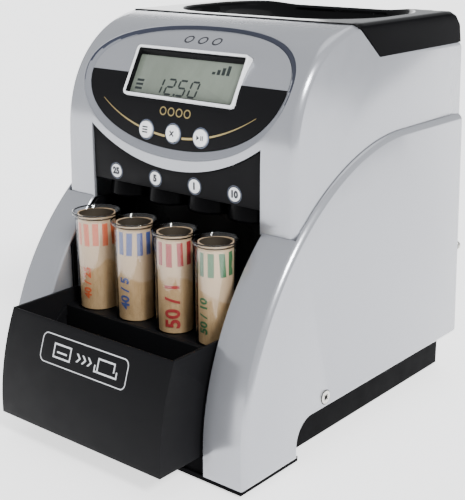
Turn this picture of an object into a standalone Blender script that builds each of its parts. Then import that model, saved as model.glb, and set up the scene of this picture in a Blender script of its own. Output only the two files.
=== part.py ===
"""Desktop coin sorting machine, modelled piece by piece.

Sizes are in millimetres and part() turns them into metres. +Z is up and the front faces -Y.
Shapes are drawn in machine coordinates, where y = 0 is the front of the two legs, and the
empty "machine" moves them so that the origin is the middle of the footprint, on the ground.
The coin tray is drawn pulled out to its stop, which is its rest position.
"""
import math

import bmesh
import bpy
from mathutils import Matrix, Vector

MM = 0.001
GAP = 0.3
WALL = 2.5

# Side covers with the two front legs
COVER_HALF = 109.15
COVER_THICK = 3.6
DRAFT = 0.028
COVER_BOTTOM = 5.0
COVER_BACK = 259.0
ARCH_DEPTH = 178.4
ARCH_FOOT_Z = 21.0
ARCH_RISE = 177.0
ARCH_POWER = 1.925
LEG_INNER = 74.3
LEG_RETURN_BACK = 34.0
FOOT_BACK = 54.5
SIDE_EDGE_Z = 29.0
SIDE_EDGE_RADIUS = 15.0

# Upper housing
BODY_HALF = 105.0
FRONT_Y = 58.0
FRONT_BOTTOM_Z = 148.8
CROWN_Z = 190.0
CROWN_RADIUS = 82.0
CROWN_POWER = 2.25
CROWN_SQUASH = 0.989
CROWN_Y = FRONT_Y + CROWN_RADIUS
SEAM_Y = 124.0
BAND_Y = 150.3
BAND_Z = 248.4
HOUSING_SIDE_BOTTOM = 120.0

# Oval control panel, measured along the curved front from the height CROWN_Z
OVAL_MIDDLE = 48.8
OVAL_POWER = 2.1
RECESS_HALF = 87.0
RECESS_LOW = -5.5
RECESS_HIGH = 93.5
PANEL_HALF = 83.8
PANEL_LOW = 0.0
PANEL_HIGH = 92.4
PANEL_DEPTH = 2.5
OVERLAY_TOP = 48.0
OVERLAY_THICK = 0.6
BUTTON_XS = {"mode_button": -23.8, "clear_button": 0.0, "run_button": 23.8}
BUTTON_ALONG = 11.0
BUTTON_RADIUS = 5.6
BUTTON_PROUD = 1.4
BUTTON_LENGTH = 9.0

# Display, on a flat plane that leans back
LCD_FOOT = Vector((0.0, 62.2, 222.1))
LCD_LEAN = math.radians(28.9)
LCD_HALF = 48.0
LCD_HEIGHT = 35.5
LCD_RIM = 2.4
LCD_FRAME_DEPTH = 9.0
LCD_GLASS_DEPTH = 2.8

# Coin lanes, left to right
LANES = {"quarter": -53.6, "nickel": -17.6, "penny": 18.4, "dime": 52.9}
COIN_RADII = {"quarter": 12.13, "nickel": 10.61, "penny": 9.53, "dime": 8.96}
TUBE_RADII = {"quarter": 14.5, "nickel": 13.7, "penny": 13.2, "dime": 13.0}
TUBE_Y = 40.2
TUBE_BOTTOM = 75.8
TUBE_TOP = 144.7
TUBE_WALL = 1.1
RIM_FLARE = 2.0
RIM_BACK = 0.9
RIM_HEIGHT = 4.5
WRAPPER_TOP = 143.0
OPENING_HALF = 73.6
FASCIA_Y = 59.5
FASCIA_BOTTOM = 161.6
FASCIA_SWEEP_Z = 176.7
FASCIA_SWEEP_RADIUS = 127.6
MARKER_XS = {"quarter": -52.2, "nickel": -15.8, "penny": 18.8, "dime": 52.2}
MARKER_RADIUS = 4.9
MARKER_Z = 168.7
CHUTE_RADIUS = 16.4
CHUTE_Y = 79.0
CHUTE_BACK = 95.0
CHUTE_BOTTOM = 150.0
CHUTE_TOP = 184.0

# Coin tray
TRAY_TRAVEL = 35.0
TRAY_HALF = 72.4
TRAY_BOTTOM = 17.0
TRAY_TOP = 87.7
TRAY_BACK = 60.0
RACK_FRONT = 23.0
RACK_TOP = TUBE_BOTTOM - GAP
RACK_BACK = TRAY_BACK - WALL - GAP

# Base and bay
BASE_HALF = 94.0
BASE_FRONT_HALF = 104.8
BASE_FRONT = 1.0
BASE_BACK = 255.0
BASE_UNDER = 1.5
BASE_FLOOR = COVER_BOTTOM - GAP
BASE_WALL_TOP = 46.0
BAY_HALF = 73.0
BAY_BACK = 98.0

# Hopper and drive
DECK_Z = 270.0
HOPPER_CORNER = 18.0
BOWL_Y = 196.0
BOWL_HALF = (82.0, 57.0)
MOUTH_Y = 193.0
WELL_RADIUS = 50.0
WELL_Z = 222.3
DISC_RADIUS = 48.5
DISC_Z = 222.6
DISC_THICK = 3.0
HUB_RADIUS = 13.0
HUB_RISE = 7.0
POCKETS = 5
POCKET_RING = 33.0
POCKET_RADIUS = 13.0
SHAFT_RADIUS = 4.0
MODULE = 1.5
GEAR_TEETH = 40
PINION_TEETH = 10
GEAR_Z = 198.0
GEAR_FACE = 6.0
PINION_X = MODULE * (GEAR_TEETH + PINION_TEETH) / 2
FRAME_TOP = 222.0 - GAP
MOTOR_RADIUS = 16.5
BRACKET_HALF = 18.0
BRACKET_END = 64.0
BOARD_X = 80.0
BOARD_THICK = 1.6

# Rear
REAR_BOTTOM = 47.0
SWITCH_AT = (60.0, 66.0)
JACK_AT = (80.0, 66.0)
SIDE_SCREW_AT = (83.5, 38.0)
SIDE_SCREW = (4.4, 12.0, 1.6)
SIDE_SCREW_SEAT = -1.2
REAR_SCREW = (3.3, 7.0, 1.0)
ROCKER_TILT = math.radians(8)
REAR_SCREW_AT = (101.5, 97.0)
SCREW_HEAD_BACK = 262.0

TRAY_FRONT = -TRAY_TRAVEL
FOOTPRINT_MIDDLE = (TRAY_FRONT + SCREW_HEAD_BACK) / 2


# ---------------------------------------------------------------- drawing tools

def clear_scene():
    for obj in list(bpy.data.objects):
        bpy.data.objects.remove(obj, do_unlink=True)


def material(name, colour, roughness, metallic=0.0, alpha=1.0):
    mat = bpy.data.materials.new(name)
    mat.use_nodes = True
    shader = mat.node_tree.nodes["Principled BSDF"]
    shader.inputs["Base Color"].default_value = (*colour, 1.0)
    shader.inputs["Roughness"].default_value = roughness
    shader.inputs["Metallic"].default_value = metallic
    shader.inputs["Alpha"].default_value = alpha
    mat.diffuse_color = (*colour, alpha)
    return mat


def make_object(name, bm, at=(0.0, 0.0, 0.0)):
    """Turn a mesh drawn in machine millimetres into an object whose origin is at `at`."""
    bmesh.ops.translate(bm, verts=bm.verts, vec=-Vector(at))
    bmesh.ops.scale(bm, verts=bm.verts, vec=(MM, MM, MM))
    bmesh.ops.recalc_face_normals(bm, faces=bm.faces)
    mesh = bpy.data.meshes.new(name)
    bm.to_mesh(mesh)
    bm.free()
    mesh.shade_smooth()
    mesh.set_sharp_from_angle(angle=math.radians(35))
    obj = bpy.data.objects.new(name, mesh)
    obj.location = Vector(at) * MM
    obj.parent = bpy.data.objects["machine"]
    bpy.context.scene.collection.objects.link(obj)
    return obj


def part(name, bm, mat, at=(0.0, 0.0, 0.0), join=(), cut=()):
    """One solid piece: join and cut are meshes added to it and then taken from it."""
    obj = make_object(name, bm, at)
    obj.data.materials.append(mat)
    combine(obj, "UNION", join)
    combine(obj, "DIFFERENCE", cut)
    return obj


def combine(obj, operation, meshes):
    """Add meshes to a piece or cut them from it, each with a Boolean."""
    for bm in meshes:
        number = len(obj.modifiers)
        helper = make_object(f"{obj.name}_tool_{number}", bm)
        helper.hide_render = True
        helper.display_type = "WIRE"
        modifier = obj.modifiers.new(f"{operation.lower()}_{number}", "BOOLEAN")
        modifier.operation = operation
        modifier.solver = "EXACT"
        modifier.object = helper


def prism(outline, axis, low, high):
    """Extrude an outline along an axis: its points are (y, z), (x, z) or (x, y)."""
    order = {"X": lambda a, b, c: (c, a, b), "Y": lambda a, b, c: (a, c, b), "Z": lambda a, b, c: (a, b, c)}
    bm = bmesh.new()
    rings = [[bm.verts.new(order[axis](a, b, c)) for a, b in outline] for c in (low, high)]
    bridge(bm, rings[0], rings[1])
    bm.faces.new(rings[0])
    bm.faces.new(rings[1])
    return bm


def box(low, high):
    (x0, y0, z0), (x1, y1, z1) = low, high
    return prism([(x0, y0), (x1, y0), (x1, y1), (x0, y1)], "Z", z0, z1)


def bridge(bm, ring, following):
    for i in range(len(ring)):
        j = (i + 1) % len(ring)
        bm.faces.new((ring[i], ring[j], following[j], following[i]))


def loft(rings, closed=False):
    """Skin rings of 3-D points: closed joins the last ring to the first, else both are capped."""
    bm = bmesh.new()
    rows = [[bm.verts.new(point) for point in ring] for ring in rings]
    for row, following in zip(rows, rows[1:]):
        bridge(bm, row, following)
    if closed:
        bridge(bm, rows[-1], rows[0])
    else:
        bm.faces.new(rows[0])
        bm.faces.new(rows[-1])
    return bm


def arc(centre, radius, start, end, steps):
    """Points on an arc, with angles in degrees."""
    angles = [math.radians(start + (end - start) * i / steps) for i in range(steps + 1)]
    return [(centre[0] + radius * math.cos(a), centre[1] + radius * math.sin(a)) for a in angles]


def circle(centre, radius, segments):
    return arc(centre, radius, 0, 360, segments)[:-1]


def rounded_rectangle(middle, half, radius, steps):
    corners = []
    for number, (sx, sy) in enumerate(((1, 1), (-1, 1), (-1, -1), (1, -1))):
        centre = (middle[0] + sx * (half[0] - radius), middle[1] + sy * (half[1] - radius))
        corners += arc(centre, radius, 90 * number, 90 * number + 90, steps)
    return corners


def cylinder(centre, direction, radius, low, high, segments=24):
    """A cylinder around an axis through centre, from low to high along it."""
    turn = Vector((0, 0, 1)).rotation_difference(Vector(direction)).to_matrix().to_4x4()
    bm = prism(circle((0, 0), radius, segments), "Z", low, high)
    bm.transform(Matrix.Translation(centre) @ turn)
    return bm


def lathe(profile, centre, segments):
    """Turn a closed (radius, z) profile around a vertical axis."""
    rings = [[(centre[0] + x, centre[1] + y, z) for x, y in circle((0, 0), r, segments)] for r, z in profile]
    return loft(rings, closed=True)


def drafted(bm, beyond=0.0):
    """Lean the sides inward with height, as moulded sides do: all points further out than beyond."""
    for vertex in bm.verts:
        if abs(vertex.co.x) > beyond:
            vertex.co.x -= math.copysign(DRAFT * vertex.co.z, vertex.co.x)
    return bm


def mirrored(bm):
    for vertex in bm.verts:
        vertex.co.x = -vertex.co.x
    return bm


def arch_points(steps, y_end=ARCH_DEPTH, inset=0.0):
    """The curved front edge of a side cover from its foot up to y_end, moved in by inset."""
    reach = ((ARCH_DEPTH - y_end) / ARCH_DEPTH) ** (ARCH_POWER / 2)
    points = []
    for i in range(steps + 1):
        t = math.acos(reach) * i / steps
        y = ARCH_DEPTH - (ARCH_DEPTH - inset) * math.cos(t) ** (2 / ARCH_POWER)
        z = ARCH_FOOT_Z + (ARCH_RISE - inset) * math.sin(t) ** (2 / ARCH_POWER)
        points.append((y, z))
    return points


def crown_point(angle, radius):
    """A (y, z) point of the crown, an arc drawn a little fuller than a circle's."""
    across, up = math.cos(angle), math.sin(angle)
    reach = radius * (across ** CROWN_POWER + up ** CROWN_POWER) ** (-1 / CROWN_POWER)
    return (CROWN_Y - reach * across, CROWN_Z + reach * up * CROWN_SQUASH)


def crown_arc(radius, y_end, steps):
    """The crown from its foot back to a depth."""
    across = (CROWN_Y - y_end) / radius
    end = math.atan2((1 - across ** CROWN_POWER) ** (1 / CROWN_POWER), across)
    return [crown_point(end * i / steps, radius) for i in range(steps + 1)]


def on_front(x, along, radius=CROWN_RADIUS):
    """A point over the curved front: `along` runs up it, radius CROWN_RADIUS is its surface."""
    y, z = crown_point(max(along, 0.0) / CROWN_RADIUS, radius)
    return (x, y, z + min(along, 0.0))


def oval(half, low, high, along):
    """Half the width of an oval at a height along the curved front."""
    reach = (along - OVAL_MIDDLE) / ((high if along > OVAL_MIDDLE else low) - OVAL_MIDDLE)
    return half * max(1 - abs(reach) ** OVAL_POWER, 0.0) ** (1 / OVAL_POWER)


def oval_ring(half, low, high, radius, segments=56):
    """The oval as a closed ring of points over the curved front."""
    ring = []
    for i in range(segments):
        t = 2 * math.pi * i / segments
        x = half * math.copysign(abs(math.cos(t)) ** (2 / OVAL_POWER), math.cos(t))
        reach = (high if math.sin(t) > 0 else low) - OVAL_MIDDLE
        ring.append(on_front(x, OVAL_MIDDLE + reach * abs(math.sin(t)) ** (2 / OVAL_POWER), radius))
    return ring


def front_plate(low, high, width_at, inner, outer, steps):
    """A plate that follows the curved front between two heights along it."""
    sections = []
    for i in range(steps + 1):
        along = low + (high - low) * i / steps
        half = width_at(along)
        corners = ((-half, inner), (half, inner), (half, outer), (-half, outer))
        sections.append([on_front(x, along, radius) for x, radius in corners])
    return loft(sections)


def on_display(bm):
    """Move a mesh drawn as (x, up the display, out of it) onto the display's plane."""
    up = Vector((0, math.sin(LCD_LEAN), math.cos(LCD_LEAN)))
    out = Vector((0, -math.cos(LCD_LEAN), math.sin(LCD_LEAN)))
    for vertex in bm.verts:
        vertex.co = LCD_FOOT + Vector((vertex.co.x, 0, 0)) + up * vertex.co.y + out * vertex.co.z
    return bm


def button_axis():
    """The way out of the panel at the buttons."""
    angle = BUTTON_ALONG / CROWN_RADIUS
    return Vector((0, -math.cos(angle), math.sin(angle)))


def button_point(x):
    return Vector(on_front(x, BUTTON_ALONG, CROWN_RADIUS - PANEL_DEPTH))


# ---------------------------------------------------------------- housing

def side_cover(name, side, mat):
    """A side shell whose front is a leg, wrapped round and turned back along the bay."""
    edge = arc((FOOT_BACK + SIDE_EDGE_RADIUS, SIDE_EDGE_Z - SIDE_EDGE_RADIUS), SIDE_EDGE_RADIUS, 90, 180, 5)
    outline = [(0, COVER_BOTTOM), *arch_points(18), (COVER_BACK, ARCH_FOOT_Z + ARCH_RISE)]
    outline += [(COVER_BACK, SIDE_EDGE_Z), *edge, (FOOT_BACK, COVER_BOTTOM)]
    plate = drafted(prism(outline, "X", COVER_HALF - COVER_THICK, COVER_HALF))
    skin_outer = [(0, COVER_BOTTOM), *arch_points(9, FRONT_Y - 0.4)]
    skin_inner = [(WALL, COVER_BOTTOM), *arch_points(9, FRONT_Y - 0.4, WALL)]
    inside_plate = COVER_HALF - COVER_THICK + 1.0
    skin = drafted(prism(skin_outer + skin_inner[::-1], "X", LEG_INNER, inside_plate), LEG_INNER + 1)
    leg_wall = [(0.5, COVER_BOTTOM), *arch_points(9, LEG_RETURN_BACK, 0.5), (LEG_RETURN_BACK, COVER_BOTTOM)]
    inner_wall = prism(leg_wall, "X", LEG_INNER + 0.01, LEG_INNER + WALL)
    screw_y, screw_z = SIDE_SCREW_AT
    head_x = COVER_HALF - DRAFT * screw_z
    hole = cylinder((head_x, screw_y, screw_z), (1, 0, 0), 2.3, -8, 8, 16)
    seat = cylinder((head_x, screw_y, screw_z), (1, 0, 0), 4.9, -1.2, 4, 20)
    lug_x, lug_z = REAR_SCREW_AT
    plate_x = COVER_HALF - COVER_THICK + 0.5 - DRAFT * lug_z
    lug = box((lug_x - 1.6, COVER_BACK - 9, lug_z - 6), (plate_x, COVER_BACK - 0.01, lug_z + 6))
    lug_hole = cylinder((lug_x + 0.9, COVER_BACK, lug_z), (0, 1, 0), 1.4, -8, 2, 12)
    meshes = [plate, skin, inner_wall, lug, hole, seat, lug_hole]
    if side < 0:
        meshes = [mirrored(bm) for bm in meshes]
    part(name, meshes[0], mat, join=meshes[1:4], cut=meshes[4:])


def upper_housing(mat):
    """The front shell with both upper sides; the hopper closes its top."""
    crown = crown_arc(CROWN_RADIUS, SEAM_Y, 12)
    foot_y = FRONT_Y + 8
    lower = [(COVER_BACK, HOUSING_SIDE_BOTTOM), (foot_y, HOUSING_SIDE_BOTTOM), (foot_y, FRONT_BOTTOM_Z)]
    outline = [(FRONT_Y, FRONT_BOTTOM_Z), *crown, (BAND_Y, BAND_Z), (COVER_BACK, BAND_Z), *lower]
    solid = drafted(prism(outline, "X", -BODY_HALF, BODY_HALF))
    hollow = crown_arc(CROWN_RADIUS - WALL, SEAM_Y, 12)
    hollow = [(FRONT_Y + WALL, 100), *hollow, (SEAM_Y, 290), (COVER_BACK + 10, 290), (COVER_BACK + 10, 100)]
    inside = drafted(prism(hollow, "X", -BODY_HALF + WALL, BODY_HALF - WALL))
    chute_opening = prism(fascia_outline(OPENING_HALF, 130, 0), "Y", FRONT_Y - 8, FRONT_Y + WALL + 3)
    part("upper_housing", solid, mat, cut=[inside, chute_opening, oval_recess()])


def oval_recess():
    """The cutter for the sloping recess and the hole that the oval panel sits in."""
    floor_radius = CROWN_RADIUS - PANEL_DEPTH
    mouth = oval_ring(RECESS_HALF + 2.0, RECESS_LOW - 3.3, RECESS_HIGH + 0.8, CROWN_RADIUS + 1.5)
    floor = oval_ring(PANEL_HALF, PANEL_LOW, PANEL_HIGH, floor_radius)
    behind = oval_ring(PANEL_HALF, PANEL_LOW, PANEL_HIGH, floor_radius - 5)
    ahead = [(x, 0.0, z) for x, y, z in mouth]
    back = [(x, SEAM_Y - 4, z) for x, y, z in behind]
    return loft([ahead, mouth, floor, behind, back])


def fascia_outline(half, bottom, clearance):
    """The coin opening: straight below, and swept down under the oval at its top."""
    radius = FASCIA_SWEEP_RADIUS + clearance
    centre = (0, FASCIA_SWEEP_Z + FASCIA_SWEEP_RADIUS)
    reach = math.degrees(math.asin(half / radius))
    return [(half, bottom), *arc(centre, radius, 270 + reach, 270 - reach, 12), (-half, bottom)]


def coin_fascia(mat, marker_mat):
    """The black panel over the coin outlets, with a round marker for each lane."""
    plate = prism(fascia_outline(OPENING_HALF - 0.4, FASCIA_BOTTOM, 0.4), "Y", FASCIA_Y, FASCIA_Y + WALL)
    part("coin_fascia", plate, mat)
    for coin, x in MARKER_XS.items():
        disc = cylinder((x, FASCIA_Y, MARKER_Z), (0, -1, 0), MARKER_RADIUS, GAP, GAP + 0.5, 24)
        part(f"lane_marker_{coin}", disc, marker_mat)


def rear_panel(mat):
    """The back plate, with cut-outs for the switch and the power inlet."""
    half = BODY_HALF - WALL - GAP
    outline = [(-half, REAR_BOTTOM), (half, REAR_BOTTOM), (half, BAND_Z - GAP), (-half, BAND_Z - GAP)]
    plate = drafted(prism(outline, "Y", COVER_BACK - WALL - 0.2, COVER_BACK - 0.2))
    cuts = []
    for (x, z), half_x, half_z in ((SWITCH_AT, 7.8, 10.8), (JACK_AT, 5.8, 5.8)):
        cuts.append(box((x - half_x, COVER_BACK - 10, z - half_z), (x + half_x, COVER_BACK + 5, z + half_z)))
    for side in (-1, 1):
        lug_x, lug_z = side * REAR_SCREW_AT[0], REAR_SCREW_AT[1]
        cuts.append(box((lug_x - 4, COVER_BACK - 12, lug_z - 7), (lug_x + 4, COVER_BACK + 5, lug_z + 7)))
    part("rear_panel", plate, mat, cut=cuts)


def base_chassis(mat):
    """The black base: a tray with a wide front plate under the legs."""
    outer = box((-BASE_HALF, FOOT_BACK + 2, BASE_UNDER), (BASE_HALF, BASE_BACK, BASE_WALL_TOP))
    front = box((-BASE_FRONT_HALF, BASE_FRONT, BASE_UNDER), (BASE_FRONT_HALF, FOOT_BACK + 4, BASE_FLOOR))
    riser = box((-BAY_HALF, 3, BASE_FLOOR - 1), (BAY_HALF, 3 + WALL, TRAY_BOTTOM - 1.5))
    inside_low = (-BASE_HALF + WALL, FOOT_BACK - 5, BASE_FLOOR)
    inside = box(inside_low, (BASE_HALF - WALL, BASE_BACK - WALL, BASE_WALL_TOP + 5))
    bosses, holes = [], []
    for side in (-1, 1):
        centre = (0, *SIDE_SCREW_AT)
        tip = COVER_HALF - COVER_THICK - DRAFT * SIDE_SCREW_AT[1] - GAP
        bosses.append(cylinder(centre, (side, 0, 0), 5.0, BASE_HALF - 1.5, tip, 16))
        holes.append(cylinder(centre, (side, 0, 0), 2.0, BASE_HALF - 8, tip + 4, 12))
    chassis = part("base_chassis", outer, mat, cut=[inside])
    combine(chassis, "UNION", [front, riser, *bosses])
    combine(chassis, "DIFFERENCE", holes)


def rubber_feet(mat):
    """Four feet, each a short peg pressed up into the base plate's underside."""
    for name, x, y in (("fl", -88, 20), ("fr", 88, 20), ("rl", -80, 238), ("rr", 80, 238)):
        foot = cylinder((x, y, 0), (0, 0, 1), 8.0, 0, BASE_UNDER - GAP, 20)
        part(f"rubber_foot_{name}", foot, mat, at=(x, y, 0))


def inner_frame(mat):
    """The black liner of the tray bay: floor, two sides and a back."""
    outer = box((-BAY_HALF - 2.2, LEG_RETURN_BACK + 0.6, 5.0), (BAY_HALF + 2.2, BAY_BACK + 2.2, 146))
    runway = box((-BAY_HALF, 8, TRAY_BOTTOM - 2.8), (BAY_HALF, 40, TRAY_BOTTOM - GAP))
    bay = box((-BAY_HALF, 0, TRAY_BOTTOM - GAP), (BAY_HALF, BAY_BACK, 160))
    under = box((-BAY_HALF, 0, 0), (BAY_HALF, BAY_BACK, TRAY_BOTTOM - 2.8))
    behind_skin = [(0, 60), *arch_points(9, FRONT_Y + 20, WALL + 0.7), (FRONT_Y + 20, 200), (0, 200)]
    part("inner_frame", outer, mat, join=[runway], cut=[prism(behind_skin, "X", -90, 90), bay, under])


# ---------------------------------------------------------------- control panel

def control_panel(panel_mat, overlay_mat):
    """The oval panel set into the front, and the dark overlay on its lower part."""
    clear = 0.8
    outer = CROWN_RADIUS - PANEL_DEPTH
    low, high = PANEL_LOW + 1.2, PANEL_HIGH - 1.2

    def width(along):
        return oval(PANEL_HALF, PANEL_LOW, PANEL_HIGH, along) - clear

    panel = front_plate(low, high, width, outer - 2.0, outer, 18)
    part("control_panel", panel, panel_mat, cut=panel_holes())
    skin_inner = outer + 0.1
    overlay = front_plate(low, OVERLAY_TOP, width, skin_inner, skin_inner + OVERLAY_THICK, 10)
    part("keypad_overlay", overlay, overlay_mat, cut=panel_holes())


def panel_holes():
    half, top = LCD_HALF + GAP, LCD_HEIGHT + GAP
    holes = [on_display(box((-half, -GAP, -16), (half, top, 8)))]
    for x in BUTTON_XS.values():
        holes.append(cylinder(button_point(x), button_axis(), BUTTON_RADIUS + GAP, -6, 6, 24))
    return holes


def display(frame_mat, glass_mat, dark_mat, board_mat):
    """The display's white frame, its window, the display module and its board."""
    middle = (0, LCD_HEIGHT / 2)
    half = (LCD_HALF, LCD_HEIGHT / 2)
    inner = (LCD_HALF - LCD_RIM, LCD_HEIGHT / 2 - LCD_RIM)
    frame = prism(rounded_rectangle(middle, half, 3.0, 3), "Z", -LCD_FRAME_DEPTH, 0)
    window = prism(rounded_rectangle(middle, inner, 1.5, 2), "Z", -LCD_FRAME_DEPTH - 3, 3)
    part("display_frame", on_display(frame), frame_mat, cut=[on_display(window)])
    fit = (inner[0] - GAP, inner[1] - GAP)
    glass = prism(rounded_rectangle(middle, fit, 1.3, 2), "Z", -LCD_GLASS_DEPTH - 1.2, -LCD_GLASS_DEPTH)
    part("display_window", on_display(glass), glass_mat)
    behind_glass = -LCD_GLASS_DEPTH - 1.6
    module = prism(rounded_rectangle(middle, fit, 1.3, 2), "Z", -LCD_FRAME_DEPTH + GAP, behind_glass)
    part("display_module", on_display(module), dark_mat)
    board_top = -LCD_FRAME_DEPTH - GAP
    board = box((-LCD_HALF - 3, -3, board_top - 1.6), (LCD_HALF + 3, LCD_HEIGHT + 1, board_top))
    part("display_board", on_display(board), board_mat)


def push_buttons(cap_mat, board_mat):
    """Three round buttons, each on its own travel axis, and the board behind them."""
    out = button_axis()
    for name, x in BUTTON_XS.items():
        surface = button_point(x)
        top = OVERLAY_THICK + BUTTON_PROUD
        cap = cylinder(surface, out, BUTTON_RADIUS, top - BUTTON_LENGTH, top, 24)
        part(name, cap, cap_mat, at=tuple(surface))
    back = BUTTON_LENGTH + 1.0
    centre = button_point(0) - out * back
    board = box((-36, centre.y, centre.z - 9), (36, centre.y + 1.6, centre.z + 9))
    part("button_board", board, board_mat)


# ---------------------------------------------------------------- coins

def coin_chutes(mat):
    """Four round-fronted chutes side by side, open above and below."""
    for coin, x in LANES.items():
        rings = []
        skins = ((CHUTE_RADIUS, (CHUTE_BOTTOM, CHUTE_TOP)), (CHUTE_RADIUS - 1.6, (CHUTE_TOP, CHUTE_BOTTOM)))
        for radius, heights in skins:
            back = CHUTE_BACK - (CHUTE_RADIUS - radius)
            outline = [*arc((x, CHUTE_Y), radius, 180, 360, 12), (x + radius, back), (x - radius, back)]
            rings += [[(px, py, z) for px, py in outline] for z in heights]
        part(f"coin_chute_{coin}", loft(rings, closed=True), mat)


def sorting_plate(mat):
    """The rail that coins roll along: each aperture lets one size of coin through."""
    plate = box((-BAY_HALF, 64, CHUTE_TOP + GAP), (BAY_HALF, 97, CHUTE_TOP + GAP + 2))
    cuts = []
    for coin, x in LANES.items():
        hole = circle((x, CHUTE_Y), COIN_RADII[coin] + 0.6, 20)
        cuts.append(prism(hole, "Z", CHUTE_TOP - 5, CHUTE_TOP + 8))
    part("sorting_plate", plate, mat, cut=cuts)


def coin_track(mat):
    """The sloping trough from the feed disc to the sorting rail."""
    low, high = (99.0, 190.0), (138.0, 214.0)
    floor = [low, high, (high[0], high[1] + 7), (low[0], low[1] + 7)]
    hollow = [(low[0] - 5, low[1] - 1), (high[0] + 5, high[1] + 5), (high[0] + 5, 240), (low[0] - 5, 240)]
    trough = prism(floor, "X", -70, -36)
    part("coin_track", trough, mat, cut=[prism(hollow, "X", -68, -38)])


def coin_tubes(tube_mat, paper_mats):
    """A clear tube with a flared mouth in each lane, and the paper wrapper inside it."""
    for coin, x in LANES.items():
        outer, inner = TUBE_RADII[coin], TUBE_RADII[coin] - TUBE_WALL
        neck = TUBE_TOP - RIM_HEIGHT
        floor_hole = 3.0
        profile = [(outer, TUBE_BOTTOM), (outer, neck), (outer + RIM_FLARE, TUBE_TOP - 2)]
        profile += [(outer + RIM_FLARE, TUBE_TOP), (inner + RIM_FLARE, TUBE_TOP), (inner, neck - 0.6)]
        profile += [(inner, TUBE_BOTTOM + 1.4), (floor_hole, TUBE_BOTTOM + 1.4), (floor_hole, TUBE_BOTTOM)]
        tube = lathe(profile, (x, TUBE_Y), 24)
        for vertex in tube.verts:
            if vertex.co.z > TUBE_TOP - 2.1:
                vertex.co.y += RIM_BACK * max(vertex.co.y - TUBE_Y, 0.0) / outer
        part(f"coin_tube_{coin}", tube, tube_mat, at=(x, TUBE_Y, TUBE_BOTTOM))
        skin = inner - GAP
        bottom = TUBE_BOTTOM + 1.4 + GAP
        sleeve = [(skin, bottom), (skin, WRAPPER_TOP), (skin - 0.4, WRAPPER_TOP), (skin - 0.4, bottom)]
        part(f"coin_wrapper_{coin}", lathe(sleeve, (x, TUBE_Y), 24), paper_mats[coin], at=(x, TUBE_Y, bottom))


def tray_front(steps):
    """The tray's front edge: the leg's curve, moved out by the tray's travel."""
    below_top = [point for point in arch_points(60, FRONT_Y) if point[1] < TRAY_TOP]
    picked = below_top[::max(len(below_top) // steps, 1)]
    return [(y - TRAY_TRAVEL, z) for y, z in picked]


def coin_tray(mat):
    """The tray: a bin with a curved front, two gussets and an open top."""
    top_y = arch_y(TRAY_TOP) - TRAY_TRAVEL
    outline = [(TRAY_FRONT, TRAY_BOTTOM), *tray_front(8), (top_y, TRAY_TOP), (TRAY_BACK, TRAY_TOP)]
    body = prism([*outline, (TRAY_BACK, TRAY_BOTTOM)], "X", -TRAY_HALF, TRAY_HALF)
    floor, back = TRAY_BOTTOM + WALL, TRAY_BACK - WALL
    hollow = [(TRAY_FRONT + WALL, floor), *[(y + WALL, z) for y, z in tray_front(8)]]
    hollow += [(top_y + WALL, TRAY_TOP + 4), (back, TRAY_TOP + 4), (back, floor)]
    inside = prism(hollow, "X", -TRAY_HALF + WALL, TRAY_HALF - WALL)
    slope = [(RACK_FRONT - GAP, RACK_TOP + 2), (-18, 45), (-18, 40), (RACK_FRONT - GAP, RACK_TOP - 5)]
    gussets = [prism(slope, "X", side * (TRAY_HALF - 1), side * (TRAY_HALF - WALL - 1.5)) for side in (-1, 1)]
    obj = part("coin_tray", body, mat, at=(0, TRAY_FRONT, TRAY_BOTTOM), cut=[inside])
    combine(obj, "UNION", gussets)


def arch_y(z):
    """The y of the cover's curved front edge at a height."""
    rise = max(z - ARCH_FOOT_Z, 0.0) / ARCH_RISE
    return ARCH_DEPTH * (1 - (1 - rise ** ARCH_POWER) ** (1 / ARCH_POWER))


def tube_rack(mat):
    """The raised shelf that holds the tubes, with a shallow seat for each."""
    floor = TRAY_BOTTOM + WALL + GAP
    half = TRAY_HALF - WALL - GAP
    body = box((-half, RACK_FRONT, floor), (half, RACK_BACK, RACK_TOP + 2))
    cuts = [box((-half + 2, RACK_FRONT + 2, floor - 5), (half - 2, RACK_BACK - 2, RACK_TOP - 2))]
    for coin, x in LANES.items():
        seat = prism(circle((x, TUBE_Y), TUBE_RADII[coin] + 0.4, 24), "Z", RACK_TOP, RACK_TOP + 9)
        cuts.append(seat)
    part("tube_rack", body, mat, cut=cuts)


# ---------------------------------------------------------------- hopper and drive

def bowl_ring(middle, half, radius, z, steps=9):
    """One level ring of the bowl's inside or outside."""
    return [(x, y, z) for x, y in rounded_rectangle((0, middle), half, radius, steps)]


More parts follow.
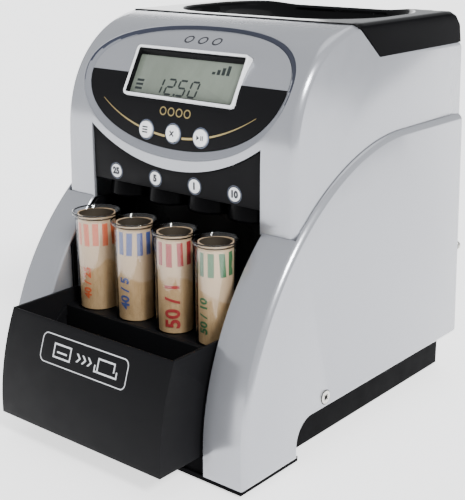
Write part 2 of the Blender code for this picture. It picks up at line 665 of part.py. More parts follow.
def hopper(mat):
    """The black lid of the machine, sunk into a bowl with a round well."""
    corner_y, corner_z = COVER_BACK - HOPPER_CORNER, DECK_Z - HOPPER_CORNER
    top = [(SEAM_Y + 3 * GAP, DECK_Z), *arc((corner_y, corner_z), HOPPER_CORNER, 90, 0, 6)]
    outline = [*top, (COVER_BACK, BAND_Z + GAP), (BAND_Y + 2 * GAP, BAND_Z + GAP)]
    lid = drafted(prism(outline, "X", -BODY_HALF, BODY_HALF))
    under = arc((corner_y, corner_z), HOPPER_CORNER - WALL, 90, 0, 6)
    under = [(SEAM_Y + 4, DECK_Z - WALL), *under, (COVER_BACK - WALL, 230), (SEAM_Y + 4, 230)]
    inside = drafted(prism(under, "X", -BODY_HALF + WALL, BODY_HALF - WALL))
    half_x, half_y = BOWL_HALF
    shapes = [(DECK_Z, MOUTH_Y, half_x, half_y, 46), (DECK_Z - 14, MOUTH_Y + 1, half_x - 12, half_y - 2.5, 50)]
    shapes.append((DECK_Z - 30, BOWL_Y - 0.5, half_x - 28, half_y - 5.5, 50))
    shapes.append((WELL_Z, BOWL_Y, WELL_RADIUS, WELL_RADIUS, WELL_RADIUS))
    outer = []
    for z, y, a, b, r in shapes:
        outer.append(bowl_ring(y, (a + WALL, b + WALL), min(r + WALL, b + WALL - 0.01), z - 1))
    outer[-1] = [(x, y, WELL_Z) for x, y, z in outer[-1]]
    inner = [bowl_ring(y, (a, b), min(r, b - 0.01), z) for z, y, a, b, r in shapes]
    inner[0] = [(x, y, DECK_Z + 1) for x, y, z in inner[0]]
    inner[-1] = [(x, y, WELL_Z - 2) for x, y, z in inner[-1]]
    lid = part("hopper", lid, mat, cut=[inside])
    combine(lid, "UNION", [loft(outer)])
    combine(lid, "DIFFERENCE", [loft(inner)])


def mechanism_frame(mat):
    """A bent steel frame that carries the feed disc and the motor."""
    outer = box((-88, 141, BASE_FLOOR + GAP), (88, 251, FRAME_TOP))
    inside = box((-86, 130, -5), (86, 260, FRAME_TOP - 2))
    shaft_hole = cylinder((0, BOWL_Y, FRAME_TOP), (0, 0, 1), 7.4, -10, 10, 24)
    slot = box((-66, 135, FRAME_TOP - 10), (-40, 152, FRAME_TOP + 10))
    part("mechanism_frame", outer, mat, cut=[inside, shaft_hole, slot])


def feed_disc(disc_mat, steel_mat, gear_mat, bush_mat):
    """The turning disc with its coin pockets, on a shaft with the large gear."""
    centre = (0, BOWL_Y)
    plate = prism(circle(centre, DISC_RADIUS, 40), "Z", DISC_Z, DISC_Z + DISC_THICK)
    hub = prism(circle(centre, HUB_RADIUS, 24), "Z", DISC_Z + 1, DISC_Z + DISC_THICK + HUB_RISE)
    pockets = []
    for number in range(POCKETS):
        angle = 2 * math.pi * number / POCKETS
        middle = (POCKET_RING * math.cos(angle), BOWL_Y + POCKET_RING * math.sin(angle))
        pockets.append(prism(circle(middle, POCKET_RADIUS, 20), "Z", DISC_Z - 3, DISC_Z + DISC_THICK + 3))
    part("feed_disc", plate, disc_mat, at=(*centre, DISC_Z), join=[hub], cut=pockets)
    shaft = cylinder((*centre, 0), (0, 0, 1), SHAFT_RADIUS, GEAR_Z - 1, DISC_Z - GAP, 24)
    part("disc_shaft", shaft, steel_mat, at=(*centre, GEAR_Z))
    gear = prism(gear_outline(GEAR_TEETH, centre, 0.0), "Z", GEAR_Z, GEAR_Z + GEAR_FACE)
    bore = cylinder((*centre, GEAR_Z), (0, 0, 1), SHAFT_RADIUS + GAP, -5, 15, 24)
    part("disc_gear", gear, gear_mat, at=(*centre, GEAR_Z), cut=[bore])
    bore, sleeve = SHAFT_RADIUS + 0.2, 7.1
    bush = [(sleeve, FRAME_TOP - 5), (sleeve, FRAME_TOP), (bore, FRAME_TOP), (bore, FRAME_TOP - 5)]
    part("shaft_bush", lathe(bush, centre, 24), bush_mat)


def gear_outline(teeth, centre, turn):
    """Straight-flanked teeth with room between them to run freely."""
    pitch = MODULE * teeth / 2
    slack = 0.12
    marks = ((-1.2, 1.1), (0.85, 0.42))
    points = []
    for number in range(teeth):
        middle = turn + 2 * math.pi * number / teeth
        for side, order in ((-1, marks), (1, marks[::-1])):
            for height, half in order:
                radius = pitch + height * MODULE
                angle = middle + side * (half * MODULE - slack) / radius
                points.append((centre[0] + radius * math.cos(angle), centre[1] + radius * math.sin(angle)))
    return points


def drive_motor(motor_mat, gear_mat, steel_mat):
    """The motor under its bracket, and the pinion that drives the large gear."""
    centre = (PINION_X, BOWL_Y)
    can = cylinder((*centre, 0), (0, 0, 1), MOTOR_RADIUS, GEAR_Z - 48, GEAR_Z - 4, 24)
    part("drive_motor", can, motor_mat)
    half_turn = math.pi / PINION_TEETH
    pinion = prism(gear_outline(PINION_TEETH, centre, half_turn), "Z", GEAR_Z - 0.5, GEAR_Z + GEAR_FACE + 2)
    stub = cylinder((*centre, 0), (0, 0, 1), 2.5, GEAR_Z - 3.5, GEAR_Z + 1, 16)
    part("motor_pinion", pinion, gear_mat, at=(*centre, GEAR_Z), join=[stub])
    plate_top = GEAR_Z - 1.5
    half, end = BRACKET_HALF, BRACKET_END
    plate = box((PINION_X - half, BOWL_Y - half, plate_top - 2), (end, BOWL_Y + half, plate_top))
    web = box((end - 2, BOWL_Y - half, plate_top - 1), (end, BOWL_Y + half, FRAME_TOP - 2 - GAP))
    hole = cylinder((*centre, plate_top), (0, 0, 1), 4.0, -6, 6, 16)
    part("motor_bracket", plate, steel_mat, join=[web], cut=[hole])


def control_board(mat):
    """The main circuit board with its larger components, on the right of the frame."""
    board = box((BOARD_X, 148, 62), (BOARD_X + BOARD_THICK, 236, 150))
    seat = BOARD_X + 0.5
    processor = box((BOARD_X - 5, 160, 100), (seat, 190, 130))
    relay = box((BOARD_X - 8, 200, 110), (seat, 212, 122))
    places = ((222, 90), (205, 80))
    capacitors = [cylinder((BOARD_X + 1, y, z), (-1, 0, 0), 6.0, 0.5, 14, 16) for y, z in places]
    part("control_board", board, mat, join=[processor, relay, *capacitors])


# ---------------------------------------------------------------- rear fittings

def power_inlet(mat):
    x, z = JACK_AT
    body = box((x - 5.5, COVER_BACK - 16, z - 5.5), (x + 5.5, COVER_BACK, z + 5.5))
    socket = cylinder((x, COVER_BACK, z), (0, 1, 0), 3.6, -12, 2, 20)
    part("power_inlet", body, mat, cut=[socket])


def power_switch(body_mat, rocker_mat):
    """The switch body with a rocker that turns about a level axis."""
    x, z = SWITCH_AT
    body = box((x - 7.5, COVER_BACK - 16, z - 10.5), (x + 7.5, COVER_BACK + 0.6, z + 10.5))
    well = box((x - 5.6, COVER_BACK - 14, z - 8.6), (x + 5.6, COVER_BACK + 5, z + 8.6))
    part("switch_body", body, body_mat, cut=[well])
    pivot = Vector((x, COVER_BACK - 2, z))
    outline = [(-4, -3), (2.5, -7.2), (1.2, 0), (2.5, 7.2), (-4, 3)]
    rocker = prism(outline, "X", -5.2, 5.2)
    rocker.transform(Matrix.Translation(pivot) @ Matrix.Rotation(-ROCKER_TILT, 4, "X"))
    part("power_rocker", rocker, rocker_mat, at=tuple(pivot))


def screws(mat):
    """Cross-head screws: two in the sides and two at the back."""
    for name, side in (("left", -1), ("right", 1)):
        y, z = SIDE_SCREW_AT
        surface = COVER_HALF - DRAFT * z
        centre = (side * surface, y, z)
        screw_part(f"side_screw_{name}", centre, (side, 0, 0), SIDE_SCREW_SEAT + GAP, 0.5, SIDE_SCREW, mat)
        x, z = REAR_SCREW_AT
        length = SCREW_HEAD_BACK - COVER_BACK
        centre = (side * (x + 0.9), COVER_BACK, z)
        screw_part(f"rear_screw_{name}", centre, (0, 1, 0), GAP, length, REAR_SCREW, mat)


def screw_part(name, centre, out, head_low, head_high, size, mat):
    """A screw that points inwards, sized by its head's radius, its length and its shank's radius."""
    head_radius, length, shank_radius = size
    head = cylinder(centre, out, head_radius, head_low, head_high, 20)
    shank = cylinder(centre, out, shank_radius, head_low - length, head_low + 0.4, 12)
    slots = []
    for half in ((2.0, 0.4), (0.4, 2.0)):
        slot = box((-half[0], -half[1], head_high - 0.9), (half[0], half[1], head_high + 2))
        turn = Vector((0, 0, 1)).rotation_difference(Vector(out)).to_matrix().to_4x4()
        slot.transform(Matrix.Translation(centre) @ turn)
        slots.append(slot)
    part(name, head, mat, at=centre, join=[shank], cut=slots)


# ---------------------------------------------------------------- the machine

def main():
    clear_scene()
    machine = bpy.data.objects.new("machine", None)
    machine.location = (0, -FOOTPRINT_MIDDLE * MM, 0)
    bpy.context.scene.collection.objects.link(machine)

    silver = material("silver_plastic", (0.62, 0.64, 0.68), 0.32, 0.35)
    black = material("black_plastic", (0.018, 0.018, 0.02), 0.42)
    gloss = material("gloss_black", (0.008, 0.008, 0.009), 0.08)
    white = material("white_plastic", (0.86, 0.87, 0.88), 0.35)
    clear = material("clear_plastic", (0.93, 0.95, 0.96), 0.05, alpha=0.25)
    screen = material("display_glass", (0.42, 0.46, 0.40), 0.1)
    board = material("circuit_board", (0.03, 0.19, 0.08), 0.5)
    steel = material("steel", (0.6, 0.6, 0.6), 0.3, 1.0)
    bronze = material("bronze", (0.55, 0.38, 0.18), 0.4, 1.0)
    nylon = material("nylon", (0.82, 0.80, 0.74), 0.5)
    rubber = material("rubber", (0.02, 0.02, 0.02), 0.85)
    papers = {coin: material(f"paper_{coin}", (0.66, 0.50, 0.32), 0.8) for coin in LANES}

    side_cover("left_side_cover", -1, silver)
    side_cover("right_side_cover", 1, silver)
    upper_housing(silver)
    rear_panel(silver)
    base_chassis(black)
    rubber_feet(rubber)
    inner_frame(black)
    coin_fascia(black, white)
    control_panel(silver, gloss)
    display(white, screen, black, board)
    push_buttons(white, board)
    coin_chutes(black)
    sorting_plate(steel)
    coin_track(steel)
    coin_tubes(clear, papers)
    coin_tray(black)
    tube_rack(black)
    hopper(gloss)
    mechanism_frame(steel)
    feed_disc(steel, steel, nylon, bronze)
    drive_motor(steel, nylon, steel)
    control_board(board)
    power_inlet(black)
    power_switch(black, black)
    screws(steel)


main()
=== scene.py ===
"""The looks of the coin sorting machine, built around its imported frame.

Shapes are drawn in millimetres, in coordinates where y = 0 is the front of the two legs, and
piece() moves them into the frame's metres. What faces forward is drawn along the curved front.
"""
import itertools
import math
import random

import bmesh
import bpy
from mathutils import Matrix, Vector


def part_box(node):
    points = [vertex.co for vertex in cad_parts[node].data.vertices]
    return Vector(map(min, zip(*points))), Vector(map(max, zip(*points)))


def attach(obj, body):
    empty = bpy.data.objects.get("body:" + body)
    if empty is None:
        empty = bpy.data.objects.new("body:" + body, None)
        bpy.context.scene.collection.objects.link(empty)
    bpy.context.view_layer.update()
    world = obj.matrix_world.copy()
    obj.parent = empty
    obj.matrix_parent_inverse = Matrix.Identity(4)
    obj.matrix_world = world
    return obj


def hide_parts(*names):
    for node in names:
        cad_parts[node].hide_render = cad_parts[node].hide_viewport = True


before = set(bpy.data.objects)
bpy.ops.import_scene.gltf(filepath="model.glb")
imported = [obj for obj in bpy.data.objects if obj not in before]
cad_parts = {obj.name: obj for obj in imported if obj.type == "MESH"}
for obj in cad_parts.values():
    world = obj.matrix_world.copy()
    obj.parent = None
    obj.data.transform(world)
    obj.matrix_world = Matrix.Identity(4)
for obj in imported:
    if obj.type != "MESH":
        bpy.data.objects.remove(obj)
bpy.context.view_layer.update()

MM = 0.001
LEG_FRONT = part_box("left_side_cover")[0].y


def drawn(node):
    """A CAD node's lowest and highest corner in drawing millimetres."""
    shift = Vector((0, LEG_FRONT, 0))
    return tuple((corner - shift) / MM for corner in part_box(node))


# Driving sizes, read from the frame where a node's box holds them
COVER_LOW, COVER_HIGH = drawn("right_side_cover")
DRAFT = 0.028
COVER_HALF = COVER_HIGH.x + DRAFT * COVER_LOW.z
COVER_THICK = 3.6
COVER_EDGE = 3.4
COVER_BACK = COVER_HIGH.y
LEG_INNER = COVER_LOW.x
LEG_RETURN_BACK = 34.0
ARCH_DEPTH = 178.4
ARCH_FOOT_Z = 21.0
ARCH_RISE = COVER_HIGH.z - ARCH_FOOT_Z
ARCH_POWER = 1.925
FOOT_BACK = 54.5
SIDE_EDGE_Z = 29.0
SIDE_EDGE_RADIUS = 15.0
SHELL_WALL = 2.2
EDGE_FLATNESS = 1.5

BODY_HALF = 105.0
BODY_EDGE = 4.0
FRONT_Y = drawn("upper_housing")[0].y
FRONT_BOTTOM_Z = 148.8
HOUSING_SIDE_BOTTOM = 120.0
CROWN_Z = 190.0
CROWN_RADIUS = 82.0
CROWN_POWER = 2.25
CROWN_SQUASH = 0.989
CROWN_Y = FRONT_Y + CROWN_RADIUS
SEAM_Y = 124.0
SEAM_Z = 270.4
BAND_Y = 150.3
BAND_Z = 248.4

OVAL_MIDDLE = 48.8
OVAL_POWER = 2.1
MOUTH = (88.0, -5.5, 93.6)
FLOOR = (83.8, 0.0, 91.9)
PANEL_RADIUS = CROWN_RADIUS - 2.5
OVERLAY_RADIUS = PANEL_RADIUS + 0.25
OVERLAY_TOP = 48.0
OPENING_HALF = 73.6
SWEEP_Z = 176.7
SWEEP_RADIUS = 127.6

COINS = ("quarter", "nickel", "penny", "dime")
VALUES = {"quarter": "25", "nickel": "5", "penny": "1", "dime": "10"}

GAP = 0.3
SHARP_ANGLE = 32


# ---------------------------------------------------------------- drawing tools

def spread(first, last, steps):
    """Evenly spaced numbers from the first to the last."""
    return [first + (last - first) * i / steps for i in range(steps + 1)]


def arc(centre, radius, start, end, steps):
    """Points on an arc, with angles in degrees."""
    angles = [math.radians(start + (end - start) * i / steps) for i in range(steps + 1)]
    return [(centre[0] + radius * math.cos(a), centre[1] + radius * math.sin(a)) for a in angles]


def rectangle(x_low, y_low, x_high, y_high):
    """A rectangle's outline."""
    return [(x_low, y_low), (x_high, y_low), (x_high, y_high), (x_low, y_high)]


def rounded(corners, steps=5, closed=True):
    """A line through corners (a, b, radius), each of them rounded."""
    points = []
    for i, (a, b, radius) in enumerate(corners):
        corner = Vector((a, b))
        at_end = not closed and i in (0, len(corners) - 1)
        if radius <= 0 or at_end:
            points.append((a, b))
            continue
        back = Vector(corners[i - 1][:2]) - corner
        ahead = Vector(corners[(i + 1) % len(corners)][:2]) - corner
        reach = min(radius / math.tan(back.angle(ahead) / 2), 0.49 * back.length, 0.49 * ahead.length)
        start = corner + back.normalized() * reach
        end = corner + ahead.normalized() * reach
        for step in range(steps + 1):
            t = step / steps
            points.append(tuple(start * (1 - t) ** 2 + corner * (2 * t * (1 - t)) + end * t * t))
    return points


def rounded_rectangle(half, radius, steps=6, middle=(0.0, 0.0)):
    """A rounded rectangle's outline from its half sizes, anticlockwise."""
    points = []
    for number, (sx, sy) in enumerate(((1, 1), (-1, 1), (-1, -1), (1, -1))):
        centre = (middle[0] + sx * (half[0] - radius), middle[1] + sy * (half[1] - radius))
        points += arc(centre, radius, 90 * number, 90 * number + 90, steps)
    return points


def inset(outline, distance):
    """A closed outline moved inwards, mitred at its corners."""
    following = outline[1:] + outline[:1]
    side = math.copysign(1, sum(a[0] * b[1] - b[0] * a[1] for a, b in zip(outline, following)))
    moved = []
    for i, point in enumerate(outline):
        before = (Vector(point) - Vector(outline[i - 1])).normalized()
        after = (Vector(following[i]) - Vector(point)).normalized()
        mitre = (before + after).normalized()
        normal = Vector((-mitre.y, mitre.x)) * side
        moved.append(tuple(Vector(point) + normal * distance / max(mitre.dot(after), 0.3)))
    return moved


def flat_quarter(angle):
    """Cosine and sine of a quarter turn drawn as a flatter curve, like a moulding's softened chamfer."""
    return math.cos(angle) ** EDGE_FLATNESS, math.sin(angle) ** EDGE_FLATNESS


def quarter_round(radius, steps=5):
    """(inset from the edge, depth below the face) down a rounded edge."""
    rounds = [flat_quarter(math.pi / 2 * i / steps) for i in range(steps + 1)]
    return [(radius * (1 - sine), radius * (1 - cosine)) for cosine, sine in rounds]


def sheet(bm, rows, closed=False, wanted=lambda row, place: True):
    """Quads between successive rows of points; closed joins each row's end to its start."""
    made = [[bm.verts.new(point) for point in points] for points in rows]
    for number, (low, high) in enumerate(zip(made, made[1:])):
        for i in range(len(low) if closed else len(low) - 1):
            if wanted(number, i):
                j = (i + 1) % len(low)
                bm.faces.new((low[i], low[j], high[j], high[i]))
    return made


def cap(bm, ring, support=0.0):
    """A flat face over a ring of vertices, with a narrow band round it that keeps it looking flat."""
    face = bm.faces.new(ring)
    if support:
        bmesh.ops.inset_region(bm, faces=[face], thickness=support, use_even_offset=True)


def solid(bm, rings):
    """A skin through closed rings, closed at both ends by flat faces."""
    made = sheet(bm, rings, closed=True)
    cap(bm, made[0])
    cap(bm, made[-1])


def turned(profile, centre, direction=(0, 0, 1), steps=64, closed=False):
    """A (radius, height) profile turned about an axis; a closed one is a ring."""
    turn = Vector((0, 0, 1)).rotation_difference(Vector(direction)).to_matrix().to_4x4()
    place = Matrix.Translation(centre) @ turn
    bm = bmesh.new()
    points = list(profile) + [profile[0]] * closed
    angles = [2 * math.pi * i / steps for i in range(steps)]
    rows = [[place @ Vector((r * math.cos(a), r * math.sin(a), h)) for a in angles] for r, h in points]
    sheet(bm, rows, closed=True)
    return bm


def prism(outline, axis, low, high):
    """Extrude an outline along an axis: its points are (y, z), (x, z) or (x, y)."""
    order = {"X": lambda a, b, c: (c, a, b), "Y": lambda a, b, c: (a, c, b), "Z": lambda a, b, c: (a, b, c)}
    bm = bmesh.new()
    solid(bm, [[order[axis](a, b, c) for a, b in outline] for c in (low, high)])
    return bm


def box(low, high):
    """A box between two corners."""
    return prism(rectangle(low[0], low[1], high[0], high[1]), "Z", low[2], high[2])


def joined(*parts):
    """Several drawings as one."""
    whole = bmesh.new()
    for bm in parts:
        mesh = as_mesh("joined", bm)
        whole.from_mesh(mesh)
        bpy.data.meshes.remove(mesh)
    return whole


def moved(bm, change):
    """A drawing with each point moved by a function."""
    for vertex in bm.verts:
        vertex.co = change(vertex.co)
    return bm


def sliced(bm, normal, places):
    """Cut a drawing across at places along an axis, so that it can bend there."""
    for at in places:
        geometry = [*bm.verts, *bm.edges, *bm.faces]
        bmesh.ops.bisect_plane(bm, geom=geometry, plane_co=Vector(normal) * at, plane_no=normal)


def as_mesh(name, bm):
    """A drawing turned into a mesh, which uses it up."""
    mesh = bpy.data.meshes.new(name)
    bm.to_mesh(mesh)
    bm.free()
    return mesh


def placed(name, data):
    """A new object in the scene."""
    obj = bpy.data.objects.new(name, data)
    bpy.context.scene.collection.objects.link(obj)
    return obj


def make_object(name, bm, inside=None, merge=0.003):
    """A drawing in millimetres as an object in the frame, with its faces turned out."""
    bmesh.ops.remove_doubles(bm, verts=bm.verts, dist=merge)
    bmesh.ops.dissolve_degenerate(bm, edges=bm.edges, dist=merge / 2)
    bmesh.ops.recalc_face_normals(bm, faces=bm.faces)
    if inside is not None:
        centre = Vector(inside)
        outward = sum((f.calc_center_median() - centre).dot(f.normal) * f.calc_area() for f in bm.faces)
        if outward < 0:
            bmesh.ops.reverse_faces(bm, faces=bm.faces)
    bm.transform(Matrix.Translation((0, LEG_FRONT, 0)) @ Matrix.Scale(MM, 4))
    return placed(name, as_mesh(name, bm))


def modify(obj, kind, **settings):
    """Add a modifier with settings."""
    modifier = obj.modifiers.new(kind.lower(), kind)
    for key, value in settings.items():
        setattr(modifier, key, value)


def carve(obj, *tools):
    """Cut drawings out of an object, each one a closed solid."""
    helpers = []
    for bm in tools:
        helper = make_object(f"{obj.name}_tool", bm)
        helpers.append(helper)
        modify(obj, "BOOLEAN", operation="DIFFERENCE", solver="EXACT", object=helper)
    apply_modifiers(obj)
    for helper in helpers:
        bpy.data.objects.remove(helper)


def apply_modifiers(obj):
    """Make the shape that the modifiers give the object's own."""
    evaluated = obj.evaluated_get(bpy.context.evaluated_depsgraph_get())
    mesh = bpy.data.meshes.new_from_object(evaluated)
    obj.modifiers.clear()
    obj.data = mesh


def thicken(obj, wall, even=False):
    """Give a skin a wall inwards, of a thickness in millimetres that is kept at corners if even."""
    modify(obj, "SOLIDIFY", thickness=wall * MM, offset=-1.0, use_even_offset=even)


def round_edges(obj, width, angle=40, segments=3):
    """Round every edge sharper than an angle, by a width in millimetres."""
    modify(obj, "BEVEL", width=width * MM, segments=segments, limit_method="ANGLE",
           angle_limit=math.radians(angle), use_clamp_overlap=True, miter_outer="MITER_ARC")


def dress(obj, materials, body, replaces=()):
    """The last step of every piece: its mesh is final, shaded, coloured and set on its body."""
    apply_modifiers(obj)
    mesh = obj.data
    mesh.materials.clear()
    for material in materials if isinstance(materials, list) else [materials]:
        mesh.materials.append(material)
    mesh.shade_smooth()
    mesh.set_sharp_from_angle(angle=math.radians(SHARP_ANGLE))
    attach(obj, body)
    if replaces:
        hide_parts(*replaces)


def piece(name, bm, material, body, replaces=(), bevel=0.0):
    """A drawing made into a finished piece, with its edges rounded where that is asked."""
    obj = make_object(name, bm)
    if bevel:
        round_edges(obj, bevel)
    dress(obj, material, body, replaces)


def refine(node, material, body, bevel):
    """A CAD node again, with its flat faces cleaned, its edges rounded and its own finish."""
    bm = bmesh.new()
    bm.from_mesh(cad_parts[node].data)
    bmesh.ops.remove_doubles(bm, verts=bm.verts, dist=0.01 * MM)
    bmesh.ops.dissolve_limit(bm, angle_limit=math.radians(0.5), verts=bm.verts, edges=bm.edges)
    bmesh.ops.recalc_face_normals(bm, faces=bm.faces)
    obj = placed(f"{node}_look", as_mesh(f"{node}_look", bm))
    round_edges(obj, bevel)
    dress(obj, material, body, [node])


# ---------------------------------------------------------------- the machine's own curves

def body_x(z):
    """Half the upper body's width at a height."""
    return BODY_HALF - DRAFT * z


def cover_x(z):
    """Half the width over the side covers at a height."""
    return COVER_HALF - DRAFT * z


def arch_points(steps, y_start=0.0, y_end=ARCH_DEPTH):
    """The curved front edge of a side cover between two depths."""
    spans = [math.acos(((ARCH_DEPTH - y) / ARCH_DEPTH) ** (ARCH_POWER / 2)) for y in (y_start, y_end)]
    points = []
    for i in range(steps + 1):
        t = spans[0] + (spans[1] - spans[0]) * i / steps
        y = ARCH_DEPTH * (1 - math.cos(t) ** (2 / ARCH_POWER))
        points.append((y, ARCH_FOOT_Z + ARCH_RISE * math.sin(t) ** (2 / ARCH_POWER)))
    return points


def crown_partner(share):
    """The other part of a crown point, where one part of its reach is known."""
    return (1 - share ** CROWN_POWER) ** (1 / CROWN_POWER)


def on_front(x, along, radius=CROWN_RADIUS):
    """A point over the curved front: `along` runs up it, radius CROWN_RADIUS is its surface."""
    angle = max(along, 0.0) / CROWN_RADIUS
    across, up = abs(math.cos(angle)), math.sin(angle)
    reach = radius * (across ** CROWN_POWER + up ** CROWN_POWER) ** (-1 / CROWN_POWER)
    z = CROWN_Z + reach * up * CROWN_SQUASH + min(along, 0.0)
    return Vector((x, CROWN_Y - reach * math.cos(angle), z))


def front_out(along):
    """The way out of the curved front at a place along it."""
    angle = max(along, 0.0) / CROWN_RADIUS
    return Vector((0, -math.cos(angle), math.sin(angle)))


def along_at(z):
    """How far along the curved front a height is."""
    if z < CROWN_Z:
        return z - CROWN_Z
    up = (z - CROWN_Z) / (CROWN_RADIUS * CROWN_SQUASH)
    return CROWN_RADIUS * math.atan2(up, crown_partner(up))


def seam_along(radius):
    """How far along the front its slanted end is, for a skin of some radius."""
    low, high = 80.0, 128.7
    for _ in range(40):
        middle = (low + high) / 2
        point = on_front(0, middle, radius)
        end_z = SEAM_Z + (point.y - SEAM_Y) * (BAND_Z - SEAM_Z) / (BAND_Y - SEAM_Y)
        low, high = (middle, high) if point.z < end_z or point.y < SEAM_Y - 2 else (low, middle)
    return low


def sweep_z(x):
    """The height of the coin opening's curved upper edge."""
    return SWEEP_Z + SWEEP_RADIUS - math.sqrt(SWEEP_RADIUS ** 2 - x ** 2)


def oval_share(shape, dx, da):
    """How much of the way (dx, da) from the oval's middle reaches the oval (half, low, high)."""
    half, low, high = shape
    reach = (high if da > 0 else low) - OVAL_MIDDLE
    return (abs(dx / half) ** OVAL_POWER + abs(da / reach) ** OVAL_POWER) ** (-1 / OVAL_POWER)


def grown(shape, by):
    """An oval (half, low, high) made larger all round."""
    return (shape[0] + by, shape[1] - by, shape[2] + by)


def plane(origin, out, up=(0, 0, 1)):
    """A matrix whose x runs across, y up and z out of a surface."""
    z = Vector(out).normalized()
    x = Vector(up).cross(z).normalized()
    y = z.cross(x)
    turn = Matrix((x, y, z)).transposed().to_4x4()
    return Matrix.Translation(origin) @ turn


# ---------------------------------------------------------------- materials

class Nodes:
    """A material's node tree with short ways to add nodes to it."""

    def __init__(self, name):
        self.material = bpy.data.materials.new(name)
        self.material.use_nodes = True
        self.tree = self.material.node_tree
        self.shader = self.tree.nodes["Principled BSDF"]
        self.place = self.add("ShaderNodeTexCoord").outputs["Object"]

    def add(self, kind, **values):
        """A node with its inputs or settings given: a socket is linked, a value is set."""
        node = self.tree.nodes.new(kind)
        for key, value in values.items():
            if isinstance(value, bpy.types.NodeSocket):
                self.tree.links.new(value, node.inputs[key])
            elif key in node.inputs:
                node.inputs[key].default_value = value
            else:
                setattr(node, key, value)
        return node

    def stretched(self, scale):
        return self.add("ShaderNodeMapping", Vector=self.place, Scale=scale).outputs["Vector"]

    def noise(self, scale, detail=3.0, rough=0.5, place=None):
        return self.add("ShaderNodeTexNoise", Vector=place or self.place, Scale=scale, Detail=detail,
                        Roughness=rough).outputs["Fac"]

    def span(self, value, low, high, start=0.3, end=0.7):
        """A value between start and end spread over low to high."""
        node = self.add("ShaderNodeMapRange", Value=value)
        for key, number in (("From Min", start), ("From Max", end), ("To Min", low), ("To Max", high)):
            node.inputs[key].default_value = number
        return node.outputs["Result"]

    def blend(self, factor, first, second):
        """A mix of two colours, each a tuple or a socket."""
        node = self.add("ShaderNodeMix", data_type="RGBA")
        self.tree.links.new(factor, node.inputs["Factor"])
        for socket, colour in ((node.inputs[6], first), (node.inputs[7], second)):
            if isinstance(colour, bpy.types.NodeSocket):
                self.tree.links.new(colour, socket)
            else:
                socket.default_value = (*colour, 1.0)
        return node.outputs[2]

    def bump(self, height, depth, strength=1.0, after=None):
        """Relief of a depth in millimetres."""
        node = self.add("ShaderNodeBump", Height=height, Distance=depth * MM, Strength=strength)
        if after is not None:
            self.tree.links.new(after, node.inputs["Normal"])
        return node.outputs["Normal"]

    def set(self, **values):
        """Give the shader its values and links, and return the finished material."""
        for key, value in values.items():
            socket = self.shader.inputs[key.replace("_", " ")]
            if isinstance(value, bpy.types.NodeSocket):
                self.tree.links.new(value, socket)
            elif isinstance(value, tuple) and len(value) == 3 and socket.type == "RGBA":
                socket.default_value = (*value, 1.0)
            else:
                socket.default_value = value
        return self.material


def shade(colour, factor):
    """A colour made lighter or darker."""
    return tuple(min(channel * factor, 1.0) for channel in colour)


def moulded(name, colour, roughness, mottle=0.06, spread=0.05, grain=1500.0, depth=0.012, **more):
    """Moulded plastic: slight clouding, uneven gloss and a fine grain."""
    nodes = Nodes(name)
    cloud = nodes.span(nodes.noise(22.0, 4.0), 0.0, 1.0)
    base = nodes.blend(cloud, shade(colour, 1 - mottle), shade(colour, 1 + mottle))
    gloss = nodes.span(nodes.noise(75.0, 6.0, 0.6), roughness - spread, roughness + spread)
    relief = nodes.bump(nodes.noise(grain, 2.0), depth)
    return nodes.set(Base_Color=base, Roughness=gloss, Normal=relief, **more)


def silver_paint(name, colour):
    """Silver paint on plastic: tiny bright flakes under a smooth, slightly waved skin."""
    nodes = Nodes(name)
    flakes = nodes.add("ShaderNodeTexVoronoi", Vector=nodes.place, Scale=3800.0)
    glint = nodes.span(flakes.outputs["Distance"], 0.0, 1.0, 0.05, 0.6)
    cloud = nodes.span(nodes.noise(14.0, 3.0), 0.0, 1.0)
    tint = nodes.blend(cloud, shade(colour, 0.96), colour)
    base = nodes.blend(glint, shade(colour, 1.08), tint)
    gloss = nodes.span(nodes.noise(90.0, 5.0), 0.18, 0.24)
    wave = nodes.bump(nodes.noise(260.0, 2.0), 0.006, 0.2)
    relief = nodes.bump(nodes.noise(2600.0, 1.0), 0.004, 0.4, after=wave)
    return nodes.set(Base_Color=base, Roughness=gloss, Normal=relief, Metallic=0.55,
                     Coat_Weight=0.3, Coat_Roughness=0.12)


def kraft_paper(pale_above=0.110, blur=0.0008):
    """Kraft paper with fibres and specks, printed paler above a height with a wavy border."""
    nodes = Nodes("kraft_paper")
    fibres = nodes.noise(420.0, 8.0, 0.7, nodes.stretched((1.0, 1.0, 0.25)))
    specks = nodes.noise(1500.0, 2.0)
    kraft = nodes.blend(nodes.span(fibres, 0.0, 1.0), (0.47, 0.29, 0.13), (0.64, 0.43, 0.22))
    height = nodes.add("ShaderNodeSeparateXYZ", Vector=nodes.place).outputs["Z"]
    waver = nodes.span(nodes.noise(38.0, 1.0), -0.006, 0.006)
    border = nodes.add("ShaderNodeMath", operation="ADD")
    nodes.tree.links.new(height, border.inputs[0])
    nodes.tree.links.new(waver, border.inputs[1])
    pale = nodes.span(border.outputs[0], 0.0, 1.0, pale_above - blur, pale_above + blur)
    base = nodes.blend(pale, kraft, (0.66, 0.47, 0.29))
    base = nodes.blend(nodes.span(specks, 0.0, 0.5, 0.62, 0.72), base, (0.25, 0.15, 0.08))
    relief = nodes.bump(fibres, 0.05, 0.7)
    return nodes.set(Base_Color=base, Roughness=nodes.span(specks, 0.62, 0.85), Normal=relief)


